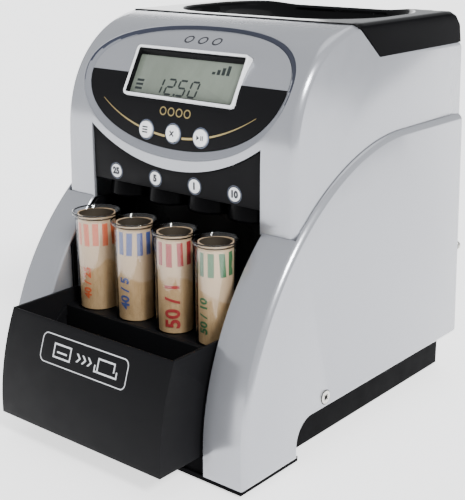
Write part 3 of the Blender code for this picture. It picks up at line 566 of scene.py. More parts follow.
def printed(name, colour, wear=0.12):
    """Ink on paper, thin where the fibres stand up."""
    nodes = Nodes(name)
    fibres = nodes.noise(600.0, 7.0, 0.7, nodes.stretched((1.0, 1.0, 0.4)))
    paper = tuple(c * (1 - wear) + p * wear for c, p in zip(colour, (0.55, 0.38, 0.2)))
    base = nodes.blend(nodes.span(fibres, 0.0, 1.0, 0.35, 0.7), colour, paper)
    relief = nodes.bump(fibres, 0.03, 0.5)
    return nodes.set(Base_Color=base, Roughness=nodes.span(fibres, 0.5, 0.75), Normal=relief)


def brushed(name, colour, roughness=0.3, along=(1.0, 30.0, 1.0)):
    """Metal with fine lines drawn across it."""
    nodes = Nodes(name)
    lines = nodes.noise(160.0, 6.0, 0.7, nodes.stretched(along))
    base = nodes.blend(nodes.span(lines, 0.0, 1.0), shade(colour, 0.86), shade(colour, 1.08))
    gloss = nodes.span(lines, roughness - 0.08, roughness + 0.1)
    return nodes.set(Base_Color=base, Roughness=gloss, Normal=nodes.bump(lines, 0.01, 0.5), Metallic=1.0)


def clear_plastic(name, clearness):
    """Clear moulded plastic: it lets light straight through, and mirrors it where seen at a slant; there what
    comes through is also tinted darker, a painted dark refraction of the surroundings.
    """
    nodes = Nodes(name)
    flow = nodes.noise(90.0, 3.0, 0.5, nodes.stretched((1.0, 1.0, 0.15)))
    relief = nodes.bump(flow, 0.03, 0.4)
    gloss = nodes.add("ShaderNodeBsdfAnisotropic", Color=(1.0, 1.0, 1.0, 1.0), Roughness=0.05, Normal=relief)
    facing = nodes.add("ShaderNodeLayerWeight", Blend=0.5, Normal=relief).outputs["Facing"]
    # Painted dark refraction: what shows through turns darker grey where the plastic is seen at a slant.
    face_on, edge_painted_dark = shade((0.95, 0.955, 0.96), clearness), shade((0.25, 0.27, 0.28), clearness)
    steep = nodes.add("ShaderNodeMath", operation="POWER")
    nodes.tree.links.new(facing, steep.inputs[0])
    steep.inputs[1].default_value = 4.0
    slant = nodes.span(steep.outputs[0], 0.035, 0.6, 0.0, 1.0)
    tint = nodes.blend(nodes.span(steep.outputs[0], 0.0, 1.0, 0.15, 0.9), face_on, edge_painted_dark)
    through = nodes.add("ShaderNodeBsdfTransparent", Color=tint)
    mix = nodes.add("ShaderNodeMixShader", Fac=slant)
    nodes.tree.links.new(through.outputs[0], mix.inputs[1])
    nodes.tree.links.new(gloss.outputs[0], mix.inputs[2])
    output = nodes.tree.nodes["Material Output"]
    nodes.tree.links.new(mix.outputs[0], output.inputs["Surface"])
    nodes.tree.nodes.remove(nodes.shader)
    return nodes.material


def liquid_crystal():
    """The grey-green field of the display, a little uneven as such displays are."""
    nodes = Nodes("liquid_crystal")
    cloud = nodes.span(nodes.noise(35.0, 5.0, 0.6, nodes.stretched((1.0, 1.0, 0.5))), 0.0, 1.0)
    base = nodes.blend(cloud, (0.15, 0.175, 0.14), (0.205, 0.235, 0.195))
    return nodes.set(Base_Color=base, Roughness=nodes.span(cloud, 0.16, 0.24), Coat_Weight=0.3,
                     Coat_Roughness=0.05)


def circuit_board():
    """Green solder mask over faint copper tracks."""
    nodes = Nodes("circuit_board")
    tracks = nodes.add("ShaderNodeTexBrick", Vector=nodes.place, Scale=160.0).outputs["Fac"]
    base = nodes.blend(tracks, (0.02, 0.16, 0.06), (0.05, 0.26, 0.10))
    return nodes.set(Base_Color=base, Roughness=nodes.span(nodes.noise(300.0), 0.3, 0.45),
                     Normal=nodes.bump(tracks, 0.03, 0.5))


def floor_material():
    """A plain pale floor, slightly clouded."""
    nodes = Nodes("pale_floor")
    cloud = nodes.span(nodes.noise(3.0, 4.0), 0.0, 1.0)
    base = nodes.blend(cloud, (0.86, 0.86, 0.865), (0.88, 0.88, 0.885))
    return nodes.set(Base_Color=base, Roughness=nodes.span(cloud, 0.6, 0.7), Specular_IOR_Level=0.1,
                     Emission_Color=(1.0, 1.0, 1.0), Emission_Strength=1.5)


silver = silver_paint("silver_paint", (0.37, 0.38, 0.41))
# A darker copy of the silver paint for the recess wall: painted shade.
recess_silver_painted_shade = silver_paint("recess_silver_painted_shade", (0.29, 0.30, 0.335))
satin_black = moulded("satin_black", (0.0062, 0.0062, 0.007), 0.5, depth=0.02, Specular_IOR_Level=0.07)
base_black = moulded("base_black", (0.0035, 0.0035, 0.004), 0.6, depth=0.02, Specular_IOR_Level=0.02)
deep_black = moulded("deep_black", (0.004, 0.004, 0.0045), 0.3, depth=0.01, Specular_IOR_Level=0.08)
gloss_black = moulded("gloss_black", (0.0035, 0.0035, 0.004), 0.12, spread=0.02, depth=0.003,
                      Specular_IOR_Level=0.09)
band_black = moulded("band_black", (0.0045, 0.0045, 0.005), 0.2, depth=0.003, Specular_IOR_Level=0.01)
white = moulded("white_plastic", (0.90, 0.91, 0.93), 0.30, mottle=0.02)
# Painted shade: the dark brown of the wrappers' insides.
paper_painted_shade = moulded("paper_inside_painted_shade", (0.045, 0.034, 0.022), 0.7, mottle=0.4)
gold_ink = moulded("gold_ink", (0.36, 0.28, 0.12), 0.38, mottle=0.12, Metallic=0.6)
dark_ink = moulded("dark_ink", (0.012, 0.013, 0.02), 0.5)
pale_ink = moulded("pale_ink", (0.62, 0.63, 0.65), 0.5, mottle=0.1)
ring_ink = moulded("ring_ink", (0.10, 0.12, 0.17), 0.4)
# Painted shade: dark grey for the part of the recess wall that faces down.
shadow_grey = moulded("shadow_grey", (0.034, 0.038, 0.056), 0.45, Specular_IOR_Level=0.15)
chute_black = moulded("chute_black", (0.0015, 0.0015, 0.002), 0.2, depth=0.006, Specular_IOR_Level=0.03)
segment_ink = moulded("segment_ink", (0.012, 0.018, 0.018), 0.4)
rubber = moulded("rubber", (0.02, 0.02, 0.02), 0.8, grain=900.0, depth=0.05)
nylon = moulded("nylon", (0.74, 0.71, 0.62), 0.45, depth=0.02)
lcd = liquid_crystal()
paper = kraft_paper()
clear = clear_plastic("clear_plastic", 1.0)
# Clear plastic that lets through less than a third: painted dark refraction for the beads at the tube rims.
rim_painted_dark_glass = clear_plastic("rim_painted_refraction", 0.30)
steel = brushed("brushed_steel", (0.58, 0.58, 0.59))
plated = brushed("plated_steel", (0.66, 0.65, 0.60), 0.28, (8.0, 8.0, 8.0))
bronze = brushed("sintered_bronze", (0.5, 0.34, 0.16), 0.42, (4.0, 4.0, 4.0))
board = circuit_board()
INKS = {
    "quarter": printed("orange_ink", (0.72, 0.12, 0.035)),
    "nickel": printed("blue_ink", (0.05, 0.09, 0.30)),
    "penny": printed("red_ink", (0.42, 0.02, 0.03)),
    "dime": printed("green_ink", (0.03, 0.16, 0.06)),
}


# ---------------------------------------------------------------- side covers

def side_cover(name, side):
    """A silver side shell: flat face, rounded edge, and the leg's skin turned back along the bay."""
    skin_end = FRONT_Y - 0.4
    lower = arch_points(30, 0.0, skin_end)
    upper = arch_points(26, skin_end, ARCH_DEPTH)[1:]
    leg = [(0.0, COVER_LOW.z), (0.0, 12.0), *lower]
    back = rounded([(ARCH_DEPTH + 1, COVER_HIGH.z, 0), (COVER_BACK, COVER_HIGH.z, 5.0),
                    (COVER_BACK, SIDE_EDGE_Z, 4.8), (FOOT_BACK + SIDE_EDGE_RADIUS, SIDE_EDGE_Z, 0)],
                   closed=False)
    corner = arc((FOOT_BACK + SIDE_EDGE_RADIUS, SIDE_EDGE_Z - SIDE_EDGE_RADIUS), SIDE_EDGE_RADIUS,
                 90, 180, 10)
    outline = [*leg, *upper, *back, *corner[1:], (FOOT_BACK, COVER_LOW.z)]

    def ring(distance, depth):
        return [(side * (cover_x(z) - depth), y, z) for y, z in inset(outline, distance)]

    bm = bmesh.new()
    edge = [ring(distance, depth) for distance, depth in quarter_round(COVER_EDGE, 8)]
    rows = sheet(bm, [*edge, ring(0, COVER_THICK)], closed=True)
    cap(bm, rows[0], support=1.0)
    turn = 1.6
    skin = [[(side * (cover_x(z) - COVER_THICK), y, z) for y, z in leg]]
    skin += [[(side * (LEG_INNER + turn + 8), y, z) for y, z in leg]]
    for distance, depth in quarter_round(turn, 4):
        moved_in = inset(outline, depth)[:len(leg)]
        moved_in[0] = (depth, COVER_LOW.z)
        skin.append([(side * (LEG_INNER + distance), y, z) for y, z in moved_in])
    sheet(bm, skin)
    wall = [(y, z) for y, z in moved_in if y < LEG_RETURN_BACK - 0.3]
    sheet(bm, [[(side * LEG_INNER, y, z) for y, z in wall],
               [(side * LEG_INNER, LEG_RETURN_BACK, z) for y, z in wall]])
    obj = make_object(f"{name}_shell", bm, inside=(0, 150, 100))
    thicken(obj, SHELL_WALL)
    middle = sum(drawn(f"side_screw_{name.split('_')[0]}"), Vector()) / 2
    well = [(0, -7), (4.9, -7), (4.9, -1.2), (5.4, 3), (0, 3)]
    carve(obj, turned(well, (side * cover_x(middle.z), middle.y, middle.z), (side, 0, 0), 32))
    round_edges(obj, 0.35, 55, 2)
    dress(obj, silver, "housing", [name])


def screw_cross_shade(name, side):
    """The cross recess in a side screw's head, drawn as two dark bars of painted shade."""
    low, high = drawn(f"side_screw_{name}")
    face = high.x if side > 0 else low.x
    # Painted shade: dark bars where the cross recess would be in shade.
    cross = joined(box((-0.12, -2.3, -0.5), (0.12, 2.3, 0.5)), box((-0.12, -0.5, -2.3), (0.12, 0.5, 2.3)))
    cross.transform(Matrix.Rotation(math.radians(45), 4, "X"))
    cross.transform(Matrix.Translation((face - side * 0.05, (low.y + high.y) / 2, (low.z + high.z) / 2)))
    piece(f"screw_cross_{name}", cross, deep_black, "housing")


# ---------------------------------------------------------------- upper housing

# The recess's rounded lip: how far outside its mouth, and how far above the skin
LIP = ((0.5, 0.0), (0.3, -0.04), (0.1, -0.2), (0.0, -0.6))
SHELF = along_at(sweep_z(OPENING_HALF))
SEAM = seam_along(CROWN_RADIUS)
FRONT_ROWS = spread(SHELF, SEAM, 34)


def side_edge_x(along):
    """Where the flat width of the front ends and its rounded edge begins."""
    return body_x(on_front(0, along).z) - BODY_EDGE


def front_outline():
    """The outline (x, along) of the silver front above the coin opening."""
    half = side_edge_x(SHELF)
    outline = [(x, SHELF) for x in spread(-half, -OPENING_HALF, 5)]
    outline += [(x, along_at(sweep_z(x))) for x in spread(-OPENING_HALF, OPENING_HALF, 44)[1:]]
    outline += [(x, SHELF) for x in spread(OPENING_HALF, half, 5)[1:]]
    outline += [(side_edge_x(a), a) for a in FRONT_ROWS[1:]]
    outline += [(x, SEAM) for x in spread(side_edge_x(SEAM), -side_edge_x(SEAM), 40)[1:]]
    return outline + [(-side_edge_x(a), a) for a in FRONT_ROWS[-2:0:-1]]


def oval_row(outline, shape, radius, part=0.0):
    """A row round an oval, or a part of the way from it to the front's outline."""
    points = []
    for x, along in outline:
        share = oval_share(shape, x, along - OVAL_MIDDLE)
        share += (1 - share) * part
        points.append(on_front(share * x, OVAL_MIDDLE + share * (along - OVAL_MIDDLE), radius))
    return points


def upper_shell(outline):
    """The silver front: pillars, crown, the lip of the recess in it, and both sides."""
    bm = bmesh.new()
    lip = grown(MOUTH, LIP[0][0])
    rows = [oval_row(outline, lip, CROWN_RADIUS, part)
            for part in (1.0, 0.86, 0.72, 0.58, 0.44, 0.3, 0.18, 0.08)]
    rows += [oval_row(outline, grown(MOUTH, by), CROWN_RADIUS + lift) for by, lift in LIP]
    sheet(bm, rows, closed=True)
    pillar_rows = spread(FRONT_BOTTOM_Z - 1.8 - CROWN_Z, SHELF, 6)
    rest = [(BAND_Y, BAND_Z), (COVER_BACK - 3, BAND_Z), (COVER_BACK, BAND_Z - 3),
            (COVER_BACK, HOUSING_SIDE_BOTTOM), (FRONT_Y + 8, HOUSING_SIDE_BOTTOM),
            (FRONT_Y + 8, FRONT_BOTTOM_Z)]
    for side in (-1, 1):
        sheet(bm, [[on_front(side * x, a) for x in spread(OPENING_HALF, side_edge_x(a), 5)]
                   for a in pillar_rows])
        edge = []
        for cosine, sine in (flat_quarter(angle) for angle in spread(0, math.pi / 2, 8)):
            radius = CROWN_RADIUS - BODY_EDGE * (1 - cosine)
            ring = []
            for a in (*pillar_rows[:-1], *FRONT_ROWS[:-1], seam_along(radius)):
                point = on_front(0, a, radius)
                ring.append((side * (body_x(point.z) - BODY_EDGE * (1 - sine)), point.y, point.z))
            edge.append(ring)
        made = sheet(bm, edge)
        cap(bm, made[-1] + [bm.verts.new((side * body_x(z), y, z)) for y, z in rest], support=0.6)
    obj = make_object("upper_shell", bm, inside=(0, 160, 190))
    thicken(obj, SHELL_WALL)
    round_edges(obj, 0.45, 60, 2)
    dress(obj, silver, "housing", ["upper_housing"])


def recess(outline):
    """The wall of the recess, in a darker silver as painted shade, with dark grey painted shade where it
    faces down: that part tapers off towards both its ends.
    """
    top = CROWN_RADIUS + LIP[-1][1]
    wall = []
    for part in (0.0, 0.12, 0.35, 0.6, 0.85, 1.0):
        shape = tuple(a + (b - a) * part for a, b in zip(MOUTH, FLOOR))
        wall.append(oval_row(outline, shape, top + (PANEL_RADIUS - 0.1 - top) * part ** 1.3))
    wall.append(oval_row(outline, FLOOR, PANEL_RADIUS - 2.6))
    # How many bands of the wall, from its lip, get the dark painted shade: all where it faces down, fewer
    # towards both ends.
    painted_shade_bands = []
    for x, along in outline:
        turn = (math.degrees(math.atan2(along - OVAL_MIDDLE, x)) + 15) % 360
        painted_shade_bands.append(round((len(wall) - 1) * min(turn / 30, (205 - turn) / 50, 1)))
    for name, material, dark in (("recess_wall", recess_silver_painted_shade, False), ("recess_shade", shadow_grey, True)):
        bm = bmesh.new()
        sheet(bm, wall, closed=True, wanted=lambda band, i: (band < painted_shade_bands[i]) is dark)
        bmesh.ops.delete(bm, geom=[vertex for vertex in bm.verts if not vertex.link_faces], context="VERTS")
        obj = make_object(name, bm, inside=(0, CROWN_Y, CROWN_Z))
        thicken(obj, 1.2)
        dress(obj, material, "housing")


# ---------------------------------------------------------------- hopper

DECK_Z = 270.9
ROLL_RADIUS = 18.0
MOUTH_Y = 193.0
MOUTH_HALF = (82.0, 57.0)
MOUTH_CORNER = 46.0
ROLL_Y = COVER_BACK + 1.3 - ROLL_RADIUS
BOWL_Y = 196.0
DECK_EDGE = 3.4
DECK_HALF = body_x(DECK_Z) - DECK_EDGE
DECK_FRONT = SEAM_Y + 0.9
DECK_END = ROLL_Y + ROLL_RADIUS * math.pi / 2 + (DECK_Z - ROLL_RADIUS - BAND_Z - GAP)
# The lip of the bowl's mouth: how far out from its middle, and how far below the deck
BOWL_LIP = ((1.035, 0.0), (1.018, 0.3), (1.005, 1.3), (0.997, 2.9))
# The bowl on its way down: height, half width, half depth, corner radius and middle
BOWL = ((DECK_Z - 4.5, MOUTH_HALF[0] - 0.7, MOUTH_HALF[1] - 0.3, MOUTH_CORNER, MOUTH_Y),
        (DECK_Z - 14, 70.0, 54.5, 50, 194.0), (DECK_Z - 30, 54.0, 51.5, 50, 195.5),
        (222.6, 50, 50, 50, BOWL_Y))
BOWL_ROWS = 18


def on_deck(x, v, below=0.0):
    """A point on the hopper's deck: v runs back over it and down the rolled rear edge."""
    angle = min(max(v - ROLL_Y, 0.0) / ROLL_RADIUS, math.pi / 2)
    down = max(v - ROLL_Y - ROLL_RADIUS * math.pi / 2, 0.0)
    radius = ROLL_RADIUS - below
    y = min(v, ROLL_Y) + radius * math.sin(angle)
    return Vector((x, y, DECK_Z - ROLL_RADIUS + radius * math.cos(angle) - down))


def deck_reach(x, v):
    """How many times further than (x, v) the deck's edge lies, seen from the bowl's middle."""
    across, back = abs(x), v - MOUTH_Y
    limits = [DECK_HALF / across] if across else []
    if back:
        limits.append(((DECK_END if back > 0 else DECK_FRONT) - MOUTH_Y) / back)
    return min(limits)


def inside_mouth(x, back):
    """True if a point, taken from the bowl's middle, lies inside its mouth."""
    across = max(abs(x) - (MOUTH_HALF[0] - MOUTH_CORNER), 0.0)
    deep = max(abs(back) - (MOUTH_HALF[1] - MOUTH_CORNER), 0.0)
    return math.hypot(across, deep) < MOUTH_CORNER


def mouth_stations():
    """Points round the bowl's mouth, four of them on the way to the deck's corners."""
    stations = rounded_rectangle(MOUTH_HALF, MOUTH_CORNER, 14, (0, MOUTH_Y))
    turns = [math.atan2(v - MOUTH_Y, x) for x, v in stations]
    for x, v in itertools.product((DECK_HALF, -DECK_HALF), (DECK_END, DECK_FRONT)):
        back = v - MOUTH_Y
        nearest = min(range(len(turns)), key=lambda i: abs(turns[i] - math.atan2(back, x)))
        share = min(t for t in spread(0.2, 1.2, 400) if not inside_mouth(t * x, t * back))
        stations[nearest] = (share * x, MOUTH_Y + share * back)
    return stations


def hopper_lid():
    """The gloss black lid: a deck rolled down at the back and sunk into the coin bowl."""
    stations = mouth_stations()
    lip = BOWL_LIP[0][0]
    rows = []
    for part in (1.0, 0.8, 0.6, 0.4, 0.2, 0.08):
        shares = [lip + (deck_reach(x, v) - lip) * part for x, v in stations]
        rows.append([(t * x, MOUTH_Y + t * (v - MOUTH_Y)) for t, (x, v) in zip(shares, stations)])
    deck = [[on_deck(x * (body_x(on_deck(0, v).z) - DECK_EDGE) / DECK_HALF, v) for x, v in row]
            for row in rows]
    for share, below in BOWL_LIP:
        deck.append([on_deck(share * x, MOUTH_Y + share * (v - MOUTH_Y), below) for x, v in stations])
    for step in range(1, BOWL_ROWS + 1):
        t = step / BOWL_ROWS * (len(BOWL) - 1)
        stretch = min(int(t), len(BOWL) - 2)
        z, across, deep, corner, middle = (
            a + (b - a) * (t - stretch) for a, b in zip(BOWL[stretch], BOWL[stretch + 1]))
        outline = rounded_rectangle((across, deep), min(corner, deep - 0.01), 14, (0, middle))
        deck.append([Vector((x, y, z)) for x, y in outline])
    bm = bmesh.new()
    sheet(bm, deck, closed=True)
    slant = (BAND_Y - SEAM_Y) / (DECK_Z - BAND_Z)
    for side in (-1, 1):
        places = {round(v, 4) for x, v in rows[0] if x * side > DECK_HALF - 0.01} | {DECK_FRONT, DECK_END}
        edge = []
        for angle in spread(0, math.pi / 2, 6):
            drop = DECK_EDGE * (1 - math.cos(angle))
            ring = []
            for v in sorted(places):
                point = on_deck(0, v, drop)
                point.y += slant * drop * max(1 - (v - DECK_FRONT) / 15, 0)
                ring.append((side * (body_x(point.z) - DECK_EDGE * (1 - math.sin(angle))), point.y, point.z))
            edge.append(ring)
        made = sheet(bm, edge)
        band_end = bm.verts.new((side * body_x(BAND_Z + GAP), BAND_Y + 0.6, BAND_Z + GAP))
        cap(bm, [*made[-1], band_end], support=0.6)
    obj = make_object("hopper_lid", bm, inside=(0, 196, 235))
    thicken(obj, 1.8)
    round_edges(obj, 0.4, 60, 2)
    dress(obj, [gloss_black, band_black], "housing", ["hopper"])
    for face in obj.data.polygons:
        face.material_index = int(abs(face.normal.x) > 0.8)


# ---------------------------------------------------------------- oval panel

LCD_FOOT = Vector((0.0, 62.2, 222.1))
LCD_LEAN = math.radians(28.9)
LCD_HALF = 48.0
LCD_HEIGHT = 35.5
BUTTONS = {"mode_button": -23.8, "clear_button": 0.0, "run_button": 23.8}
BUTTON_ALONG = 11.0
BUTTON_RADIUS = 5.6


def on_display(bm):
    """Move a drawing made as (x, up the display, out of it) onto the display's plane."""
    lean = Matrix.Rotation(math.pi / 2 - LCD_LEAN, 4, "X")
    bm.transform(Matrix.Translation(LCD_FOOT) @ lean)
    return bm


def oval_rows(low, high, radius, clear=0.25, columns=30, steps=16):
    """Rows of points that fill the oval panel between two places along the front."""
    half, bottom, top = FLOOR[0] - clear, FLOOR[1] + clear, FLOOR[2] - clear

    def reach(upwards):
        return (top if upwards else bottom) - OVAL_MIDDLE

    rows = []
    for t in spread(-math.pi / 2, math.pi / 2, 2 * steps):
        along = OVAL_MIDDLE + reach(t > 0) * abs(math.sin(t)) ** (2 / OVAL_POWER)
        if low < along < high:
            rows.append((along, half * max(math.cos(t), 0.0) ** (2 / OVAL_POWER)))
    for limit in (max(low, bottom), min(high, top)):
        share = (limit - OVAL_MIDDLE) / reach(limit > OVAL_MIDDLE)
        rows.append((limit, half * max(1 - abs(share) ** OVAL_POWER, 0.0) ** (1 / OVAL_POWER)))
    rows.sort()
    return [[on_front(x, along, radius) for x in spread(-width, width, columns)] for along, width in rows]


def panel_cutters(depth=20.0):
    half, top = LCD_HALF - 0.4, LCD_HEIGHT - 0.4
    cutters = [on_display(box((-half, 0.4, -depth), (half, top, depth)))]
    for x in BUTTONS.values():
        centre = on_front(x, BUTTON_ALONG, PANEL_RADIUS)
        cutters.append(turned([(0, -8), (BUTTON_RADIUS + 0.45, -8), (BUTTON_RADIUS + 0.45, 8), (0, 8)],
                              centre, front_out(BUTTON_ALONG), 48))
    return cutters


def panel_part(name, low, high, radius, wall, material, node):
    """A part of the oval panel, cut out round the display and the buttons."""
    bm = bmesh.new()
    sheet(bm, oval_rows(low, high, radius))
    obj = make_object(name, bm, inside=(0, CROWN_Y, CROWN_Z))
    thicken(obj, wall)
    carve(obj, *panel_cutters())
    dress(obj, material, "housing", [node])


def oval_panel():
    """The silver upper half of the oval, the dark overlay on its lower half, and what is printed on them."""
    panel_part("oval_panel", OVERLAY_TOP - 1.5, FLOOR[2], PANEL_RADIUS, 1.6, silver,
               "control_panel")
    panel_part("panel_overlay", FLOOR[1], OVERLAY_TOP, OVERLAY_RADIUS, 1.4, satin_black,
               "keypad_overlay")
    gold_arc()
    coin_rings("gold_coins", (-10.5, -3.5, 3.5, 10.5), 25.0, 2.9, 0.8, gold_ink,
               OVERLAY_RADIUS)
    coin_rings("dark_coins", (-14.0, -2.0, 10.0), 79.5, 3.8, 1.2, dark_ink, PANEL_RADIUS)


def coin_rings(name, spots, middle, radius, line, material, skin):
    """A row of plain rings, like coins laid side by side, printed on the panel."""
    for number, x in enumerate(spots):
        rows = []
        for angle in spread(0, 2 * math.pi, 28):
            way = (math.cos(angle), math.sin(angle))
            rows.append([(x + r * way[0], middle + r * way[1]) for r in (radius - line, radius)])
        front_mark(f"{name}_{number + 1}", rows, material, radius=skin)


def front_mark(name, outline_rows, material, radius=OVERLAY_RADIUS):
    """A thin printed mark over the curved front, from rows of (x, along)."""
    lift = 0.08
    bm = bmesh.new()
    sheet(bm, [[on_front(x, a, radius + lift) for x, a in row] for row in outline_rows])
    obj = make_object(name, bm, inside=(0, CROWN_Y, CROWN_Z))
    thicken(obj, lift + 0.05)
    dress(obj, material, "housing")


def gold_arc():
    """The thin gold line that runs behind the buttons and fades at both ends."""
    reach, low_z, radius = 66.0, 198.2, 119.0
    rows = []
    for x in spread(-reach, reach, 90):
        middle = along_at(low_z + radius - math.sqrt(radius ** 2 - x ** 2))
        half = 0.16 + 0.62 * math.cos(math.pi / 2 * x / reach)
        tilt = math.asin(x / radius)
        rows.append([(x + half * math.sin(tilt) * s, middle - half * math.cos(tilt) * s) for s in (-1, 0, 1)])
    for number, (start, end) in enumerate(((-reach, -29.9), (-17.7, -6.1), (6.1, 17.7), (29.9, reach))):
        kept = [row for row in rows if start <= row[1][0] <= end]
        front_mark(f"gold_line_{number + 1}", kept, gold_ink)


# ---------------------------------------------------------------- display

def display():
    """The white bezel with its rounded rim, the dark border inside it (partly a black border, partly painted
    shade at its top), the display and its digits.
    """
    middle = (0, LCD_HEIGHT / 2)
    profile = [(0.0, -9.0), (0.0, -1.0), (0.25, -0.35), (0.7, 0.0), (1.3, 0.0), (1.7, -0.25), (1.9, -0.8),
               (2.0, -2.6), (2.0, -9.0)]
    rings = []
    for distance, height in profile:
        half = (LCD_HALF - distance, LCD_HEIGHT / 2 - distance)
        edge = rounded_rectangle(half, max(3.2 - distance, 0.9), 6, middle)
        rings.append([(x, y, height) for x, y in edge])
    bm = bmesh.new()
    sheet(bm, [*rings, rings[0]], closed=True)
    piece("display_bezel", on_display(bm), white, "housing", ["display_frame"])

    inner = (LCD_HALF - 2.1, LCD_HEIGHT / 2 - 2.1)
    field_z = -4.2
    bm = prism(rounded_rectangle(inner, 0.9, 4, middle), "Z", field_z - 1.5, field_z)
    piece("display_field", on_display(bm), lcd, "housing", ["display_window"], bevel=0.1)
    # The dark border is much wider at the top than at the sides: part black border, part painted shade under
    # the bezel's top edge.
    border_and_shade = []
    for share, height in ((0.0, -0.9), (0.0, field_z + 0.05), (1.0, field_z + 0.05), (1.0, field_z + 0.2),
                          (0.35, -1.0)):
        top, sides = 3.4 * share, 0.7 * share
        half = (inner[0] - sides, inner[1] - (top + sides) / 2)
        centre = (0, middle[1] - (top - sides) / 2)
        border_and_shade.append([(x, y, height) for x, y in rounded_rectangle(half, 0.8, 4, centre)])
    bm = bmesh.new()
    sheet(bm, [*border_and_shade, border_and_shade[0]], closed=True)
    piece("display_border_and_shade", on_display(bm), deep_black, "housing")
    digits(field_z + 0.12)


SEGMENTS = {"0": "abcdef", "1": "bc", "2": "abged", "3": "abgcd", "4": "fgbc", "5": "afgcd",
            "6": "afgedc", "7": "abc", "8": "abcdefg", "9": "abcdfg"}


def segment(which, at, size, slant=0.12):
    """One bar of a seven-segment digit as an outline, cut to a point at both ends."""
    width, height = size
    thick, space = 0.12 * height, 0.03 * height
    ends = {"a": ((0, height), (width, height)), "b": ((width, height), (width, height / 2)),
            "c": ((width, height / 2), (width, 0)), "d": ((0, 0), (width, 0)), "e": ((0, height / 2), (0, 0)),
            "f": ((0, height), (0, height / 2)), "g": ((0, height / 2), (width, height / 2))}[which]
    start, end = Vector(ends[0]), Vector(ends[1])
    way = (end - start).normalized()
    start, end = start + way * space, end - way * space
    across = Vector((-way.y, way.x)) * thick / 2
    shape = [start, start + way * thick / 2 + across, end - way * thick / 2 + across, end,
             end - way * thick / 2 - across, start + way * thick / 2 - across]
    return [(at[0] + p.x + slant * p.y, at[1] + p.y) for p in shape]


def digits(height):
    """A plain amount on the display, with a row of level bars above it."""
    size = (6.2, 10.4)
    marks = []
    for number, digit in enumerate("1250"):
        marks += [segment(which, (-25.0 + 10.2 * number, 4.4), size) for which in SEGMENTS[digit]]
    marks.append(rectangle(-6.6, 3.9, -5.1, 5.4))
    for number in range(4):
        x, top = 20.0 + 3.9 * number, 21.5 + 1.6 * (number + 1)
        marks.append(rectangle(x, 21.5, x + 2.4, top))
    for number in range(3):
        low = 5.6 + 2.8 * number
        marks.append(rectangle(-41.5, low, -35.5, low + 1.5))
    piece("display_digits", on_display(flat_marks(marks, Matrix.Translation((0, 0, height)))), segment_ink,
          "housing")


# ---------------------------------------------------------------- buttons and markers

def disc_profile(radius, top, bottom, edge, dome=0.15):
    """A cap's profile from its middle to its foot, with a soft edge and a slight dome."""
    flat = radius - edge
    crown = [(flat * share, top + dome * (1 - share ** 2)) for share in spread(0, 1, 4)]
    rim = arc((flat, top - edge), edge, 90, 0, 5)[1:]
    return [*crown, *rim, (radius, bottom), (0.0, bottom)]


def icon(name):
    """A generic sign as outlines on a button's face."""
    if name == "mode_button":
        return [rectangle(-2.3, y - 0.45, 2.3, y + 0.45) for y in (-1.7, 0, 1.7)]
    if name == "clear_button":
        outlines = []
        for turn in (45, 135):
            way = Vector((math.cos(math.radians(turn)), math.sin(math.radians(turn)))) * 2.3
            across = way.orthogonal().normalized() * 0.5
            outlines.append([across - way, -across - way, way - across, way + across])
        return outlines
    return [[(-2.4, 1.6), (-2.4, -1.6), (0.2, 0.0)], [(1.0, 1.5), (1.0, -1.5), (1.7, -1.5), (1.7, 1.5)],
            [(2.3, 1.5), (2.3, -1.5), (3.0, -1.5), (3.0, 1.5)]]


def flat_marks(outlines, place, thick=0.08):
    """Thin solid marks from outlines, laid on a plane and sunk a little into it."""
    bm = joined(*(prism(outline, "Z", -0.15, thick) for outline in outlines))
    bm.transform(place)
    return bm


def push_buttons():
    """Three raised white caps, each in a dark well with a thin pale ring round it."""
    out = front_out(BUTTON_ALONG)
    for name, x in BUTTONS.items():
        body = f"{name.split('_')[0]}_key"
        foot = on_front(x, BUTTON_ALONG, PANEL_RADIUS)
        cap_bm = turned(disc_profile(BUTTON_RADIUS, 1.85, -7.0, 0.7), foot, out, 48)
        piece(f"{name}_cap", cap_bm, white, body, [name])
        mark = flat_marks(icon(name), plane(foot + out * 1.97, out))
        piece(f"{name}_icon", mark, dark_ink, body)
        ring = [(BUTTON_RADIUS + 0.5, 0.2), (BUTTON_RADIUS + 0.5, 0.62), (BUTTON_RADIUS + 0.75, 0.75),
                (BUTTON_RADIUS + 1.05, 0.62), (BUTTON_RADIUS + 1.15, 0.2)]
        piece(f"{name}_ring", turned(ring, foot, out, 48, closed=True), ring_ink, "housing")


def numerals(text, size, bold=0.0):
    """Flat number shapes as a drawing in the x, y plane, centred."""
    curve = bpy.data.curves.new("numerals", "FONT")
    curve.body = text
    curve.size = size
    curve.align_x = "CENTER"
    curve.align_y = "CENTER"
    curve.extrude = 0.06
    curve.offset = bold
    curve.resolution_u = 4
    obj = placed("numerals", curve)
    mesh = bpy.data.meshes.new_from_object(obj.evaluated_get(bpy.context.evaluated_depsgraph_get()))
    bpy.data.objects.remove(obj)
    bm = bmesh.new()
    bm.from_mesh(mesh)
    bpy.data.meshes.remove(mesh)
    return bm


